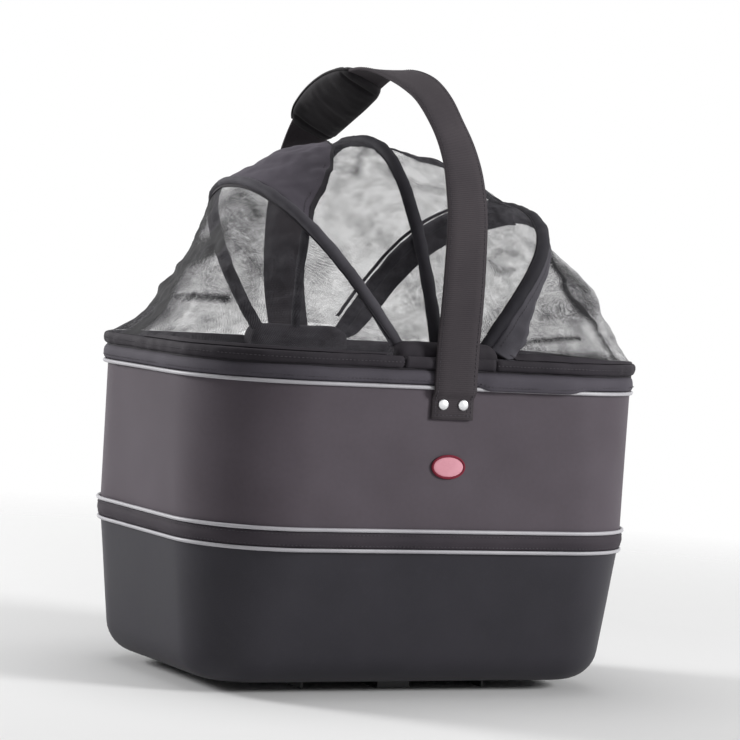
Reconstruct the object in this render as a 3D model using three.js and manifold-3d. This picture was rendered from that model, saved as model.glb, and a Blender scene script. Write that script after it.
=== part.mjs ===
// A dog basket for a bicycle handlebar, in millimetres, +Z up.
// The origin is under the middle of the basket, on the face that it stands on.
// The front wall faces -Y, and the handlebar lies along X behind the rear wall.

import * as THREE from "three";
import { mergeVertices } from "three/addons/utils/BufferGeometryUtils.js";
import Module from "manifold-3d";

const wasm = await Module();
wasm.setup();

// Fits that every piece shares
const clearance = 0.3;
const runningClearance = 0.4;
const overrun = 3;
const mergeTolerance = 0.0005;
// Part of a line's length on each side of a point that gives its direction there
const directionShare = 0.01;

// Counts of steps, which set how finely curves are faceted
const cornerSteps = 6;
const filletSteps = 4;
const roundSides = 12;
const beadSides = 6;
const nutSides = 6;

// Tub and wall: the outline at the waist, how it draws in to the base and flares to the rim
const shell = {
  standHeight: 8,
  waistHeight: 128,
  wallHeight: 128,
  length: 402,
  width: 294,
  corner: 80,
  baseDrawLength: 38,
  baseDrawWidth: 58,
  baseDrawCorner: 30,
  rimFlareLength: 8,
  rimFlareWidth: -2,
  rimFlareCorner: 7,
  wall: 4,
  bottomFillet: 26,
};
const rimHeight = shell.waistHeight + shell.wallHeight;

// Tapes and pipings on the outside of the wall
const trim = {
  bandHeight: 12.6,
  bandThickness: 2,
  bandRound: 1.2,
  pipingRadius: 1.6,
  rimPipingDrop: 5,
};

// Folded tape over the top edge of the wall, and the steel rim inside it
const binding = {
  wireRadius: 2.5,
  tape: 3,
  fold: 3.7,
  outerLeg: 3,
  round: 2.6,
};

// Opaque hem that zips the hood to the rim
const hem = {
  height: 9.6,
  thickness: 6,
  outerLeg: 3.5,
  round: 1.8,
  footMargin: 6,
};

// Board and cushion on the floor of the tub
const floor = {
  boardThickness: 3,
  boardMargin: 1,
  cushionHeight: 24,
  cushionCrown: 8,
  cushionSwell: 12,
  cushionMargin: 4,
  cushionChannel: 3,
  cushionChannelInset: 26,
};

// Three bows that fan out from hub plates in the middle of the long sides
const bow = {
  pivotRise: 20,
  sleeveRadius: 5.5,
  centreRadius: 5,
  eyeRadius: 8,
  pinRadius: 2.6,
  pinHeadRadius: 4.5,
  pinHeadThickness: 1.4,
  steps: 26,
  sides: 8,
};
const bows = {
  left: { foot: -39, rise: 161, lean: -36, sideShare: 0.94, crownShare: 0.92 },
  centre: { foot: -7, rise: 171, lean: -5.5, sideShare: 0.73, crownShare: 1.6 },
  right: { foot: 31, rise: 150, lean: 35, sideShare: 1.06, crownShare: 0.42 },
};

const pivotHeight = rimHeight + bow.pivotRise;

// Pressed plate inside the rim that carries the feet of the bows
const hub = {
  thickness: 3,
  lobe: 9.5,
  footWidth: 44,
  footDrop: 28,
  joggleDrop: 9,
  joggleHeight: 3.5,
  joggleShift: 1,
};

// Net panels of the hood
const net = {
  thickness: 1.4,
  panelSteps: 18,
  acrossSteps: 5,
  endSag: 7,
  innerSag: 5,
  endStartShare: 0.075,
  innerStartShare: 0.06,
  leastSlantShare: 0.5,
};

// Webbing strap, its riveted ends and its padded sleeve
const strap = {
  width: 38,
  thickness: 2.6,
  rise: 231,
  pivotDrop: 6,
  tabDrop: 30,
  tabHorn: 12,
  tabRound: 3,
  rivetDrop: 18,
  rivetSpacing: 18,
  steps: 40,
};
// Height of the strap's middle line above its pivots, and its reach from the middle
const strapRouteShares = [
  [-1.0, 0.0],
  [-1.02, 0.11],
  [-1.025, 0.21],
  [-0.99, 0.48],
  [-0.9, 0.68],
  [-0.76, 0.82],
  [-0.54, 0.935],
  [-0.3, 0.985],
  [0.0, 1.0],
  [0.35, 0.99],
  [0.68, 0.955],
  [0.92, 0.885],
  [1.07, 0.77],
  [1.15, 0.63],
  [1.17, 0.48],
  [1.13, 0.3],
  [1.05, 0.12],
  [1.0, 0.0],
];
const sleeve = {
  width: 62,
  endWidth: 42,
  thickness: 9,
  firstStation: 20,
  stations: 9,
  outerRoundShare: 0.7,
  innerRoundShare: 0.05,
};

const rivet = {
  shankRadius: 2.3,
  headRadius: 4.6,
  headHeight: 2,
  tailRadius: 4,
  tailHeight: 1.4,
};

const patch = {
  length: 29,
  height: 11.5,
  thickness: 0.8,
  heightShare: 0.46875,
};
const patchHeight = shell.waistHeight + patch.heightShare * shell.wallHeight;

// Plate inside the rear wall
const stiffener = {
  width: 156,
  rise: 17,
  drop: 30,
  thickness: 3,
  corner: 12,
};
const stiffenerLow = shell.waistHeight + stiffener.rise;
const stiffenerHigh = rimHeight - stiffener.drop;

// Moulded bracket: a rear leg and a base leg in one piece, with turned edges
const bracket = {
  baseWidth: 170,
  topWidth: 128,
  topDrop: 24,
  front: 79,
  plate: 2.5,
  edge: 2.5,
  ribWidth: 30,
  faintRib: 0.6,
  bendDrop: 16,
};
const bracketTop = rimHeight - bracket.topDrop;

// Plate on the bracket with the T rail that drops into the handlebar adapter
const hook = {
  width: 112,
  height: 64,
  drop: 32,
  thickness: 4,
  corner: 8,
  stemWidth: 24,
  stemDepth: 5,
  headWidth: 40,
  headDepth: 4,
  railRise: 12,
  railHeight: 38,
  boltInset: 7,
  boltRise: 12,
};
const hookHigh = rimHeight - hook.drop;
const hookLow = hookHigh - hook.height;
const railLow = hookLow + hook.railRise;
const railHigh = railLow + hook.railHeight;

const bolt = {
  shankRadius: 2.5,
  headRadius: 4.5,
  headHeight: 3,
  nutAcross: 8,
  nutHeight: 4,
};

// How far a screw's head narrows to its crown, and where that starts
const headShares = { crown: 0.8, edge: 0.6 };

const baseScrew = {
  shankRadius: 2.3,
  headRadius: 4.6,
  headHeight: 2.4,
  offset: 50,
  setBack: 20,
};

// Handlebar adapter with its two clamps, push button and spring
const adapter = {
  width: 80,
  depth: 35,
  height: 48,
  drop: 2,
  edgeRound: 3,
  barRadius: 15.9,
  barSetBack: 22,
  clampWidth: 16,
  clampWall: 6,
  earHeight: 64,
  earThickness: 7,
  splitGap: 1,
  boltRise: 25.3,
  boltDepth: 12,
};
const barHeight = (hookLow + hookHigh) / 2 - adapter.drop;
const adapterLow = barHeight - adapter.height / 2;
const adapterHigh = barHeight + adapter.height / 2;
const button = {
  width: 16,
  depth: 12,
  height: 22,
  proud: 6,
  travel: 5,
  setBack: 14,
  round: 2,
};
const spring = {
  radius: 4.4,
  wireRadius: 0.6,
  turns: 4,
  stepsPerTurn: 8,
  sides: 5,
  packShare: 1.2,
};

// Zip sliders on the rear side, with their pulls
const zip = {
  offset: 62,
  width: 9,
  depth: 3,
  height: 13,
  earWidth: 2,
  pinRadius: 1,
  pullWidth: 4,
  pullLength: 22,
  pullThickness: 1.6,
};

// Colours, roughness and metalness as seen
const finishes = {
  tubFoam: { color: 0x3c3c41, roughness: 0.62, metalness: 0 },
  wallCloth: { color: 0x554f55, roughness: 0.55, metalness: 0 },
  bandTape: { color: 0x37343a, roughness: 0.8, metalness: 0 },
  reflective: { color: 0xbdbdbf, roughness: 0.4, metalness: 0 },
  bindingTape: { color: 0x3d3d45, roughness: 0.8, metalness: 0 },
  hemTape: { color: 0x2b2b31, roughness: 0.85, metalness: 0 },
  steel: { color: 0xb8babd, roughness: 0.35, metalness: 1 },
  blackSteel: { color: 0x17181a, roughness: 0.45, metalness: 0.4 },
  board: { color: 0x2a2a2c, roughness: 0.8, metalness: 0 },
  cushion: { color: 0x4a4a50, roughness: 0.95, metalness: 0 },
  bowSleeve: { color: 0x1c1b1f, roughness: 0.85, metalness: 0 },
  netting: { color: 0x55555a, roughness: 0.9, metalness: 0 },
  webbing: { color: 0x49454a, roughness: 0.8, metalness: 0 },
  padding: { color: 0x232125, roughness: 0.9, metalness: 0 },
  plastic: { color: 0x1f2023, roughness: 0.5, metalness: 0 },
  badge: { color: 0xc45a72, roughness: 0.6, metalness: 0 },
  signal: { color: 0xb3202a, roughness: 0.4, metalness: 0 },
};

const basket = new THREE.Group();

function addPiece(name, geometry, finish, parent = basket) {
  const mesh = new THREE.Mesh(geometry, new THREE.MeshStandardMaterial(finishes[finish]));
  mesh.name = name;
  parent.add(mesh);
  return mesh;
}

function degrees(angle) {
  return THREE.MathUtils.degToRad(angle);
}

// Volume by the divergence theorem, which is negative when the faces point inwards
function signedVolume(points, index) {
  let volume = 0;
  for (let i = 0; i < index.length; i += 3) {
    const [a, b, c] = [points[index[i]], points[index[i + 1]], points[index[i + 2]]];
    volume += a.dot(b.clone().cross(c));
  }
  return volume;
}

function bodyFrom(points, index) {
  if (signedVolume(points, index) < 0) {
    index.reverse();
  }
  const geometry = new THREE.BufferGeometry();
  const flat = points.flatMap((point) => point.toArray());
  geometry.setAttribute("position", new THREE.Float32BufferAttribute(flat, 3));
  geometry.setIndex(index);
  geometry.computeVertexNormals();
  return geometry;
}

// Triangles that close a plane ring, wound the way that the ring runs
function capOf(ring) {
  const normal = new THREE.Vector3();
  ring.forEach((point, i) => {
    normal.add(point.clone().cross(ring[(i + 1) % ring.length]));
  });
  normal.normalize();
  const across = ring[1].clone().sub(ring[0]).normalize();
  const along = normal.clone().cross(across);
  const flat = ring.map((point) => new THREE.Vector2(point.dot(across), point.dot(along)));
  return THREE.ShapeUtils.triangulateShape(flat, []).map(([a, b, c]) => {
    const turn = flat[b].clone().sub(flat[a]).cross(flat[c].clone().sub(flat[a]));
    return turn > 0 ? [a, b, c] : [a, c, b];
  });
}

// A body through a row of rings with as many points each, capped, or joined end to end
function loft(rings, joined = false) {
  const size = rings[0].length;
  const points = rings.flat();
  const index = [];
  const spans = joined ? rings.length : rings.length - 1;
  for (let i = 0; i < spans; i += 1) {
    const near = i * size;
    const far = ((i + 1) % rings.length) * size;
    for (let j = 0; j < size; j += 1) {
      const k = (j + 1) % size;
      index.push(near + j, near + k, far + k, near + j, far + k, far + j);
    }
  }
  if (!joined) {
    const last = (rings.length - 1) * size;
    capOf(rings[0]).forEach(([a, b, c]) => index.push(a, c, b));
    capOf(rings.at(-1)).forEach(([a, b, c]) => index.push(last + a, last + b, last + c));
  }
  return bodyFrom(points, index);
}

function solid(geometry) {
  const bare = geometry.clone();
  bare.deleteAttribute("normal");
  bare.deleteAttribute("uv");
  const merged = mergeVertices(bare, mergeTolerance);
  return new wasm.Manifold(
    new wasm.Mesh({
      numProp: 3,
      vertProperties: merged.attributes.position.array,
      triVerts: new Uint32Array(merged.index.array),
    }),
  );
}

function geometryOf(manifold) {
  const mesh = manifold.getMesh();
  const geometry = new THREE.BufferGeometry();
  geometry.setAttribute("position", new THREE.BufferAttribute(mesh.vertProperties, 3));
  geometry.setIndex(new THREE.BufferAttribute(mesh.triVerts, 1));
  geometry.computeVertexNormals();
  return geometry;
}

function join(...geometries) {
  return geometryOf(geometries.map(solid).reduce((whole, next) => whole.add(next)));
}

function cut(geometry, tools) {
  return geometryOf(tools.map(solid).reduce((whole, tool) => whole.subtract(tool), solid(geometry)));
}

function common(first, second) {
  return geometryOf(solid(first).intersect(solid(second)));
}

// A round bar between two points
function bar(radius, start, end, sides = roundSides) {
  const way = end.clone().sub(start);
  const turn = new THREE.Quaternion().setFromUnitVectors(
    new THREE.Vector3(0, 1, 0),
    way.clone().normalize(),
  );
  return new THREE.CylinderGeometry(radius, radius, way.length(), sides)
    .applyQuaternion(turn)
    .translate(...start.clone().add(end).divideScalar(2).toArray());
}

function barAlongX(radius, from, to, y, z) {
  return bar(radius, new THREE.Vector3(from, y, z), new THREE.Vector3(to, y, z));
}

function barAlongY(radius, x, from, to, z) {
  return bar(radius, new THREE.Vector3(x, from, z), new THREE.Vector3(x, to, z));
}

function barAlongZ(radius, x, y, from, to) {
  return bar(radius, new THREE.Vector3(x, y, from), new THREE.Vector3(x, y, to));
}

function block(low, high) {
  const size = high.map((value, i) => value - low[i]);
  const middle = high.map((value, i) => (value + low[i]) / 2);
  return new THREE.BoxGeometry(...size).translate(...middle);
}

function roundedRectangle(left, right, low, high, radius) {
  const shape = new THREE.Shape();
  shape.absarc(right - radius, low + radius, radius, -Math.PI / 2, 0, false);
  shape.absarc(right - radius, high - radius, radius, 0, Math.PI / 2, false);
  shape.absarc(left + radius, high - radius, radius, Math.PI / 2, Math.PI, false);
  shape.absarc(left + radius, low + radius, radius, Math.PI, (3 * Math.PI) / 2, false);
  shape.closePath();
  return shape;
}

// A plate upright in the XZ plane, from one Y to a greater one
function uprightPlate(shape, from, to) {
  const depth = to - from;
  return new THREE.ExtrudeGeometry(shape, { depth, bevelEnabled: false, curveSegments: filletSteps })
    .rotateX(Math.PI / 2)
    .translate(0, to, 0);
}

// A profile drawn in the YZ plane, extruded along X
function alongX(profile, from, to) {
  const shape = new THREE.Shape(profile.map(([y, z]) => new THREE.Vector2(y, z)));
  return new THREE.ExtrudeGeometry(shape, { depth: to - from, bevelEnabled: false })
    .applyMatrix4(
      new THREE.Matrix4().makeBasis(
        new THREE.Vector3(0, 1, 0),
        new THREE.Vector3(0, 0, 1),
        new THREE.Vector3(1, 0, 0),
      ),
    )
    .translate(from, 0, 0);
}

// Outline of the basket at a height, between its base, waist and rim
const levels = [
  {
    z: shell.standHeight,
    halfX: (shell.length - shell.baseDrawLength) / 2,
    halfY: (shell.width - shell.baseDrawWidth) / 2,
    corner: shell.corner - shell.baseDrawCorner,
  },
  {
    z: shell.waistHeight,
    halfX: shell.length / 2,
    halfY: shell.width / 2,
    corner: shell.corner,
  },
  {
    z: rimHeight,
    halfX: (shell.length + shell.rimFlareLength) / 2,
    halfY: (shell.width + shell.rimFlareWidth) / 2,
    corner: shell.corner + shell.rimFlareCorner,
  },
];

function outlineAt(z) {
  const upper = z > shell.waistHeight ? 2 : 1;
  const [low, high] = [levels[upper - 1], levels[upper]];
  const share = THREE.MathUtils.clamp((z - low.z) / (high.z - low.z), 0, 1);
  return {
    halfX: THREE.MathUtils.lerp(low.halfX, high.halfX, share),
    halfY: THREE.MathUtils.lerp(low.halfY, high.halfY, share),
    corner: THREE.MathUtils.lerp(low.corner, high.corner, share),
  };
}

const quadrants = [
  [1, 1],
  [-1, 1],
  [-1, -1],
  [1, -1],
];

function cornerPoint(outline, offset, z, quadrant, step) {
  const [signX, signY] = quadrants[quadrant];
  const radius = Math.max(outline.corner + offset, shell.wall);
  const angle = (quadrant + step / cornerSteps) * (Math.PI / 2);
  return new THREE.Vector3(
    signX * (outline.halfX + offset - radius) + radius * Math.cos(angle),
    signY * (outline.halfY + offset - radius) + radius * Math.sin(angle),
    z,
  );
}

// Ring round the basket at a height, set out from the wall's outer face by an offset
function ringAt(z, offset, drawnAt = z) {
  const outline = outlineAt(z);
  const points = [];
  quadrants.forEach((signs, quadrant) => {
    for (let step = 0; step <= cornerSteps; step += 1) {
      points.push(cornerPoint(outline, offset, drawnAt, quadrant, step));
    }
  });
  return points;
}

// A closed belt round the basket, from a section of offsets and heights
function belt(section) {
  return loft(section.map(([offset, z]) => ringAt(z, offset)), true);
}

function circleSection(offset, z, radius, sides = beadSides) {
  return Array.from({ length: sides }, (unused, i) => {
    const angle = ((i + 0.5) / sides) * 2 * Math.PI;
    return [offset + radius * Math.cos(angle), z + radius * Math.sin(angle)];
  });
}

const wallInner = -shell.wall;
const rimHalfWidth = levels[2].halfY;

// Moulded tub
function tubRings(offset, radius, bottom) {
  const rings = [];
  for (let step = 0; step <= filletSteps; step += 1) {
    const angle = (step / filletSteps) * (Math.PI / 2);
    const z = bottom + radius * (1 - Math.cos(angle));
    rings.push(ringAt(z, offset - radius * (1 - Math.sin(angle))));
  }
  return rings;
}

const tubTop = shell.waistHeight - clearance / 2;
const tubFloor = shell.standHeight + shell.wall;
const innerFillet = shell.bottomFillet - shell.wall;

const tub = loft([
  ...tubRings(0, shell.bottomFillet, shell.standHeight),
  ringAt(tubTop, 0),
  ringAt(tubTop, wallInner),
  ...tubRings(wallInner, innerFillet, tubFloor).reverse(),
]);

// Cloth covered wall above the waist
const wallFoot = shell.waistHeight + clearance / 2;
const wall = belt([
  [0, wallFoot],
  [0, rimHeight],
  [wallInner, rimHeight],
  [wallInner, wallFoot],
]);

// Waist band between its two pipings
const bandLow = shell.waistHeight - trim.bandHeight / 2;
const bandHigh = shell.waistHeight + trim.bandHeight / 2;
const bandOut = clearance + trim.bandThickness;
const waistBand = belt([
  [clearance, bandLow],
  [bandOut - trim.bandRound / 2, bandLow],
  [bandOut, bandLow + trim.bandRound],
  [bandOut, shell.waistHeight],
  [bandOut, bandHigh - trim.bandRound],
  [bandOut - trim.bandRound / 2, bandHigh],
  [clearance, bandHigh],
  [clearance, shell.waistHeight],
]);
const pipingOut = clearance + trim.pipingRadius;
const pipingStep = trim.pipingRadius + clearance;
const trimOut = pipingOut + trim.pipingRadius;

addPiece("waist_band", waistBand, "bandTape");
addPiece(
  "waist_piping_lower",
  belt(circleSection(pipingOut, bandLow - pipingStep, trim.pipingRadius)),
  "reflective",
);
addPiece(
  "waist_piping_upper",
  belt(circleSection(pipingOut, bandHigh + pipingStep, trim.pipingRadius)),
  "reflective",
);
const rimPipingHeight = rimHeight - trim.rimPipingDrop;
addPiece(
  "rim_piping",
  belt(circleSection(pipingOut, rimPipingHeight, trim.pipingRadius)),
  "reflective",
);

// Rim wire on the wall's top edge, and the tape folded over both
const wireHeight = rimHeight + clearance + binding.wireRadius;
const wireOffset = wallInner / 2;
addPiece("rim_wire", belt(circleSection(wireOffset, wireHeight, binding.wireRadius)), "steel");

const tapeInside = wireHeight + binding.wireRadius + clearance;
const tapeTop = tapeInside + binding.fold;
const tapeOut = clearance + binding.tape;
const tapeIn = wallInner - clearance - binding.tape;
const tapeFoot = rimHeight - binding.outerLeg;
const rimBinding = belt([
  [tapeOut, tapeFoot],
  [tapeOut, tapeTop - binding.round],
  [tapeOut - binding.round, tapeTop],
  [tapeIn + binding.round, tapeTop],
  [tapeIn, tapeTop - binding.round],
  [tapeIn, tapeFoot],
  [wallInner - clearance, tapeFoot],
  [wallInner - clearance, tapeInside],
  [clearance, tapeInside],
  [clearance, tapeFoot],
]);
addPiece("rim_binding", rimBinding, "bindingTape");

// Floor board
const boardLow = tubFloor + clearance;
const boardHigh = boardLow + floor.boardThickness;
const boardInset = -shell.bottomFillet - floor.boardMargin;
const board = loft([
  ringAt(shell.standHeight, boardInset, boardLow),
  ringAt(shell.standHeight, boardInset, boardHigh),
]);

// Cushion with a crown, drawn-in sides and a sewn channel along its edge
const cushionLow = boardHigh + clearance;
const cushionEdge = boardInset + floor.cushionMargin;

function cushionRing(share, swell) {
  const z = cushionLow + share * floor.cushionHeight;
  return ringAt(shell.standHeight, cushionEdge + swell * floor.cushionSwell, z);
}

function cushionCrownRing(insetShare, riseShare, channelShare) {
  const rise = riseShare * floor.cushionCrown - channelShare * floor.cushionChannel;
  const inset = insetShare * floor.cushionChannelInset;
  const z = cushionLow + floor.cushionHeight + rise;
  return ringAt(shell.standHeight, cushionEdge - inset, z);
}

// Rise up the side, and how far the side swells there
const cushionSideShares = [
  [0, 0],
  [0.16, 0.62],
  [0.42, 1],
  [0.5, 0.9],
  [0.62, 1],
  [0.84, 0.7],
];
// Inset from the edge, rise of the crown there, and depth of the sewn channel
const cushionCrownShares = [
  [0, 0, 0],
  [0.6, 0.62, 0],
  [1, 0.9375, 1],
  [1.4, 0.8, 0],
  [1.9, 1, 0],
];
const cushion = loft([
  ...cushionSideShares.map(([rise, swell]) => cushionRing(rise, swell)),
  ...cushionCrownShares.map(([inset, rise, channel]) => cushionCrownRing(inset, rise, channel)),
]);
addPiece("floor_cushion", cushion, "cushion");

// Hub plates inside the rim: a joggled strip, cut to a fan with three lobes
const hubOuterLow = rimHalfWidth + wallInner - clearance;
const hubOuterHigh = rimHalfWidth + tapeIn - clearance;
const hubInner = hubOuterHigh - hub.thickness;
const hubFoot = rimPipingHeight - hub.footDrop + trim.rimPipingDrop;
const hubTop = pivotHeight + hub.lobe;
const joggleLow = rimHeight - hub.joggleDrop;
const joggleHigh = joggleLow + hub.joggleHeight;

function hubPlate(side) {
  const profile = [
    [hubOuterLow, hubFoot],
    [hubOuterLow, joggleLow],
    [hubOuterHigh, joggleHigh],
    [hubOuterHigh, hubTop],
    [hubInner, hubTop],
    [hubInner, joggleHigh - hub.joggleShift],
    [hubOuterLow - hub.thickness, joggleLow - hub.joggleShift],
    [hubOuterLow - hub.thickness, hubFoot],
  ].map(([y, z]) => [side * y, z]);
  const left = bows.left.foot - hub.lobe;
  const right = bows.right.foot + hub.lobe;
  const strip = alongX(side > 0 ? profile : profile.reverse(), left, right);
  const fan = new THREE.Shape();
  fan.moveTo(-hub.footWidth / 2, hubFoot);
  fan.lineTo(hub.footWidth / 2, hubFoot);
  fan.lineTo(right, pivotHeight - hub.lobe);
  fan.absarc(bows.right.foot, pivotHeight, hub.lobe, 0, Math.PI / 2, false);
  fan.absarc(bows.left.foot, pivotHeight, hub.lobe, Math.PI / 2, Math.PI, false);
  fan.lineTo(left, pivotHeight - hub.lobe);
  fan.closePath();
  const near = Math.min(side * hubInner, side * hubOuterLow) - overrun;
  const far = Math.max(side * hubInner, side * hubOuterLow) + overrun;
  const holes = Object.values(bows).map(({ foot }) =>
    barAlongY(bow.pinRadius + clearance, foot, near, far, pivotHeight),
  );
  return cut(common(strip, uprightPlate(fan, near, far)), holes);
}

// Bows: arches in a leaning plane, with an eye and a headed pin at each foot
const eyeOuter = hubInner - clearance;

function bowRadius(name) {
  return name === "centre" ? bow.centreRadius : bow.sleeveRadius;
}

function signedPower(value, power) {
  return Math.sign(value) * Math.abs(value) ** power;
}

function bowCurve(name) {
  const { foot, rise, lean, sideShare, crownShare } = bows[name];
  const halfSpan = eyeOuter - bowRadius(name);
  const points = [];
  const count = 4 * bow.steps;
  for (let i = 0; i <= count; i += 1) {
    const angle = (i / count) * Math.PI;
    const height = rise * signedPower(Math.max(0, Math.sin(angle)), crownShare);
    points.push(
      new THREE.Vector3(
        foot + height * Math.sin(degrees(lean)),
        -halfSpan * signedPower(Math.cos(angle), sideShare),
        pivotHeight + height * Math.cos(degrees(lean)),
      ),
    );
  }
  const lengths = [0];
  points.slice(1).forEach((point, i) => lengths.push(lengths[i] + point.distanceTo(points[i])));
  return { points, lengths };
}

// Point at a share of a polyline's length
function pointAlong({ points, lengths }, share) {
  const wanted = share * lengths.at(-1);
  const next = Math.max(1, lengths.findIndex((length) => length >= wanted - mergeTolerance));
  const part = (wanted - lengths[next - 1]) / (lengths[next] - lengths[next - 1]);
  return points[next - 1].clone().lerp(points[next], THREE.MathUtils.clamp(part, 0, 1));
}

function directionAlong(line, share) {
  const from = pointAlong(line, Math.max(0, share - directionShare));
  return pointAlong(line, Math.min(1, share + directionShare)).sub(from).normalize();
}

// A tube of a section swept along a line, with one axis of the section held
function sweep(line, heldAxis, steps, sectionAt) {
  const rings = [];
  for (let i = 0; i <= steps; i += 1) {
    const share = i / steps;
    const middle = pointAlong(line, share);
    const second = heldAxis.clone().cross(directionAlong(line, share)).normalize();
    rings.push(
      sectionAt(share).map(([a, b]) =>
        middle.clone().addScaledVector(heldAxis, a).addScaledVector(second, b),
      ),
    );
  }
  return loft(rings);
}

function bowPiece(name) {
  const { foot, lean } = bows[name];
  const radius = bowRadius(name);
  const across = new THREE.Vector3(Math.cos(degrees(lean)), 0, -Math.sin(degrees(lean)));
  const section = circleSection(0, 0, radius, bow.sides);
  const parts = [sweep(bowCurve(name), across, bow.steps, () => section)];
  const headFrom = hubOuterHigh + clearance;
  [-1, 1].forEach((side) => {
    const eyeInner = eyeOuter - 2 * radius;
    const pinEnd = headFrom + bow.pinHeadThickness;
    parts.push(barAlongY(bow.eyeRadius, foot, side * eyeInner, side * eyeOuter, pivotHeight));
    parts.push(barAlongY(bow.pinRadius, foot, side * eyeInner, side * pinEnd, pivotHeight));
    parts.push(barAlongY(bow.pinHeadRadius, foot, side * headFrom, side * pinEnd, pivotHeight));
  });
  return join(...parts);
}

Object.keys(bows).forEach((name) => addPiece(`hoop_${name}`, bowPiece(name), "bowSleeve"));

// Hem of the hood: two long ends that lift with the bows, and two short fixed middles
const hemLow = tapeTop + clearance;
const hemHigh = hemLow + hem.height;
const hemLeftEnd = bows.left.foot - hem.footMargin;
const hemRightEnd = bows.right.foot + hem.footMargin;

// Line round one end of the basket, from the front side to the rear side
function endLine(side, startX, offset, z) {
  const outline = outlineAt(z);
  const start = new THREE.Vector3(startX, -(outline.halfY + offset), z);
  const order = side > 0 ? [3, 0] : [2, 1];
  const points = [start];
  order.forEach((quadrant) => {
    for (let i = 0; i <= cornerSteps; i += 1) {
      const step = side > 0 ? i : cornerSteps - i;
      points.push(cornerPoint(outline, offset, z, quadrant, step));
    }
  });
  points.push(new THREE.Vector3(startX, outline.halfY + offset, z));
  return points;
}

const hemOut = hem.outerLeg;
const hemIn = hem.outerLeg - hem.thickness;
const hemSection = [
  [hemOut, hemLow],
  [hemOut, hemHigh - hem.round],
  [hemOut - hem.round, hemHigh],
  [hemIn + hem.round, hemHigh],
  [hemIn, hemHigh - hem.round],
  [hemIn, hemLow],
];

function hemEnd(side, startX) {
  const lines = hemSection.map(([offset, z]) => endLine(side, startX, offset, z));
  return loft(lines[0].map((unused, i) => lines.map((line) => line[i])));
}

function hemMiddle(side) {
  const profile = hemSection.map(([offset, z]) => [side * (rimHalfWidth + offset), z]);
  return alongX(profile, hemLeftEnd + clearance, hemRightEnd - clearance);
}

addPiece("hem_left", hemEnd(-1, hemLeftEnd - clearance), "hemTape");
addPiece("hem_right", hemEnd(1, hemRightEnd + clearance), "hemTape");

// Net panels: sheets between two lines, clear of the bow tubes at their edges
function lineFrom(points) {
  const lengths = [0];
  points.slice(1).forEach((point, i) => lengths.push(lengths[i] + point.distanceTo(points[i])));
  return { points, lengths };
}

function sheetPoint(first, second, insets, sag, along, across) {
  const from = pointAlong(first, along);
  const to = pointAlong(second, along);
  const way = to.clone().sub(from);
  const span = way.length();
  const unit = way.clone().normalize();
  const slants = [first, second].map((line) =>
    Math.max(net.leastSlantShare, unit.clone().cross(directionAlong(line, along)).length()),
  );
  const near = insets[0] / slants[0];
  const far = span - insets[1] / slants[1];
  const middle = from.clone().addScaledVector(unit, near + across * (far - near));
  const drop = sag * 4 * across * (1 - across) * Math.sin(Math.PI * along);
  const inward = new THREE.Vector3(-middle.x, -middle.y, rimHeight - middle.z).normalize();
  return middle.addScaledVector(inward, drop);
}

function sheet(first, second, insets, sag, startShare) {
  const grid = [];
  for (let i = 0; i <= net.panelSteps; i += 1) {
    const along = startShare + (i / net.panelSteps) * (1 - 2 * startShare);
    const row = [];
    for (let j = 0; j <= net.acrossSteps; j += 1) {
      row.push(sheetPoint(first, second, insets, sag, along, j / net.acrossSteps));
    }
    grid.push(row);
  }
  const rings = grid.map((row, i) => {
    const before = grid[Math.max(0, i - 1)];
    const after = grid[Math.min(grid.length - 1, i + 1)];
    const offsets = row.map((point, j) => {
      const left = row[Math.max(0, j - 1)];
      const right = row[Math.min(row.length - 1, j + 1)];
      const normal = right.clone().sub(left).cross(after[j].clone().sub(before[j])).normalize();
      return normal.multiplyScalar(net.thickness / 2);
    });
    const upper = row.map((point, j) => point.clone().add(offsets[j]));
    const lower = row.map((point, j) => point.clone().sub(offsets[j]));
    return [...upper, ...lower.reverse()];
  });
  return loft(rings);
}

const curves = {
  left: bowCurve("left"),
  centre: bowCurve("centre"),
  right: bowCurve("right"),
};
const bowInset = bow.sleeveRadius + clearance + net.thickness / 2;
const centreInset = bow.centreRadius + clearance + net.thickness / 2;
const hemInset = net.thickness;
const hemMiddleOffset = (hemOut + hemIn) / 2;
const hemTopLines = {
  left: lineFrom(endLine(-1, hemLeftEnd, hemMiddleOffset, hemHigh)),
  right: lineFrom(endLine(1, hemRightEnd, hemMiddleOffset, hemHigh)),
};

["left", "right"].forEach((side) => {
  const end = sheet(
    curves[side],
    hemTopLines[side],
    [bowInset, hemInset],
    net.endSag,
    net.endStartShare,
  );
  addPiece(`gore_${side}_end`, end, "netting");
  const inner = sheet(
    curves[side],
    curves.centre,
    [bowInset, centreInset],
    net.innerSag,
    net.innerStartShare,
  );
  addPiece(`gore_${side}_inner`, inner, "netting");
});

// Strap: riveted tabs, a swinging arch with round ends, and the padded sleeve
const strapPivotHeight = pivotHeight - strap.pivotDrop;
const strapOut = Math.max(tapeOut, trimOut, hemOut) + clearance + strap.thickness / 2;
const strapReach = rimHalfWidth + strapOut;
const strapRadius = strap.width / 2;
const rivetHeight = rimHeight - strap.rivetDrop;
const tabFoot = rimHeight - strap.tabDrop;

const strapLine = lineFrom(
  new THREE.CatmullRomCurve3(
    strapRouteShares.map(
      ([reach, rise]) =>
        new THREE.Vector3(0, reach * strapReach, strapPivotHeight + rise * strap.rise),
    ),
  ).getSpacedPoints(4 * strap.steps),
);

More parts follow.
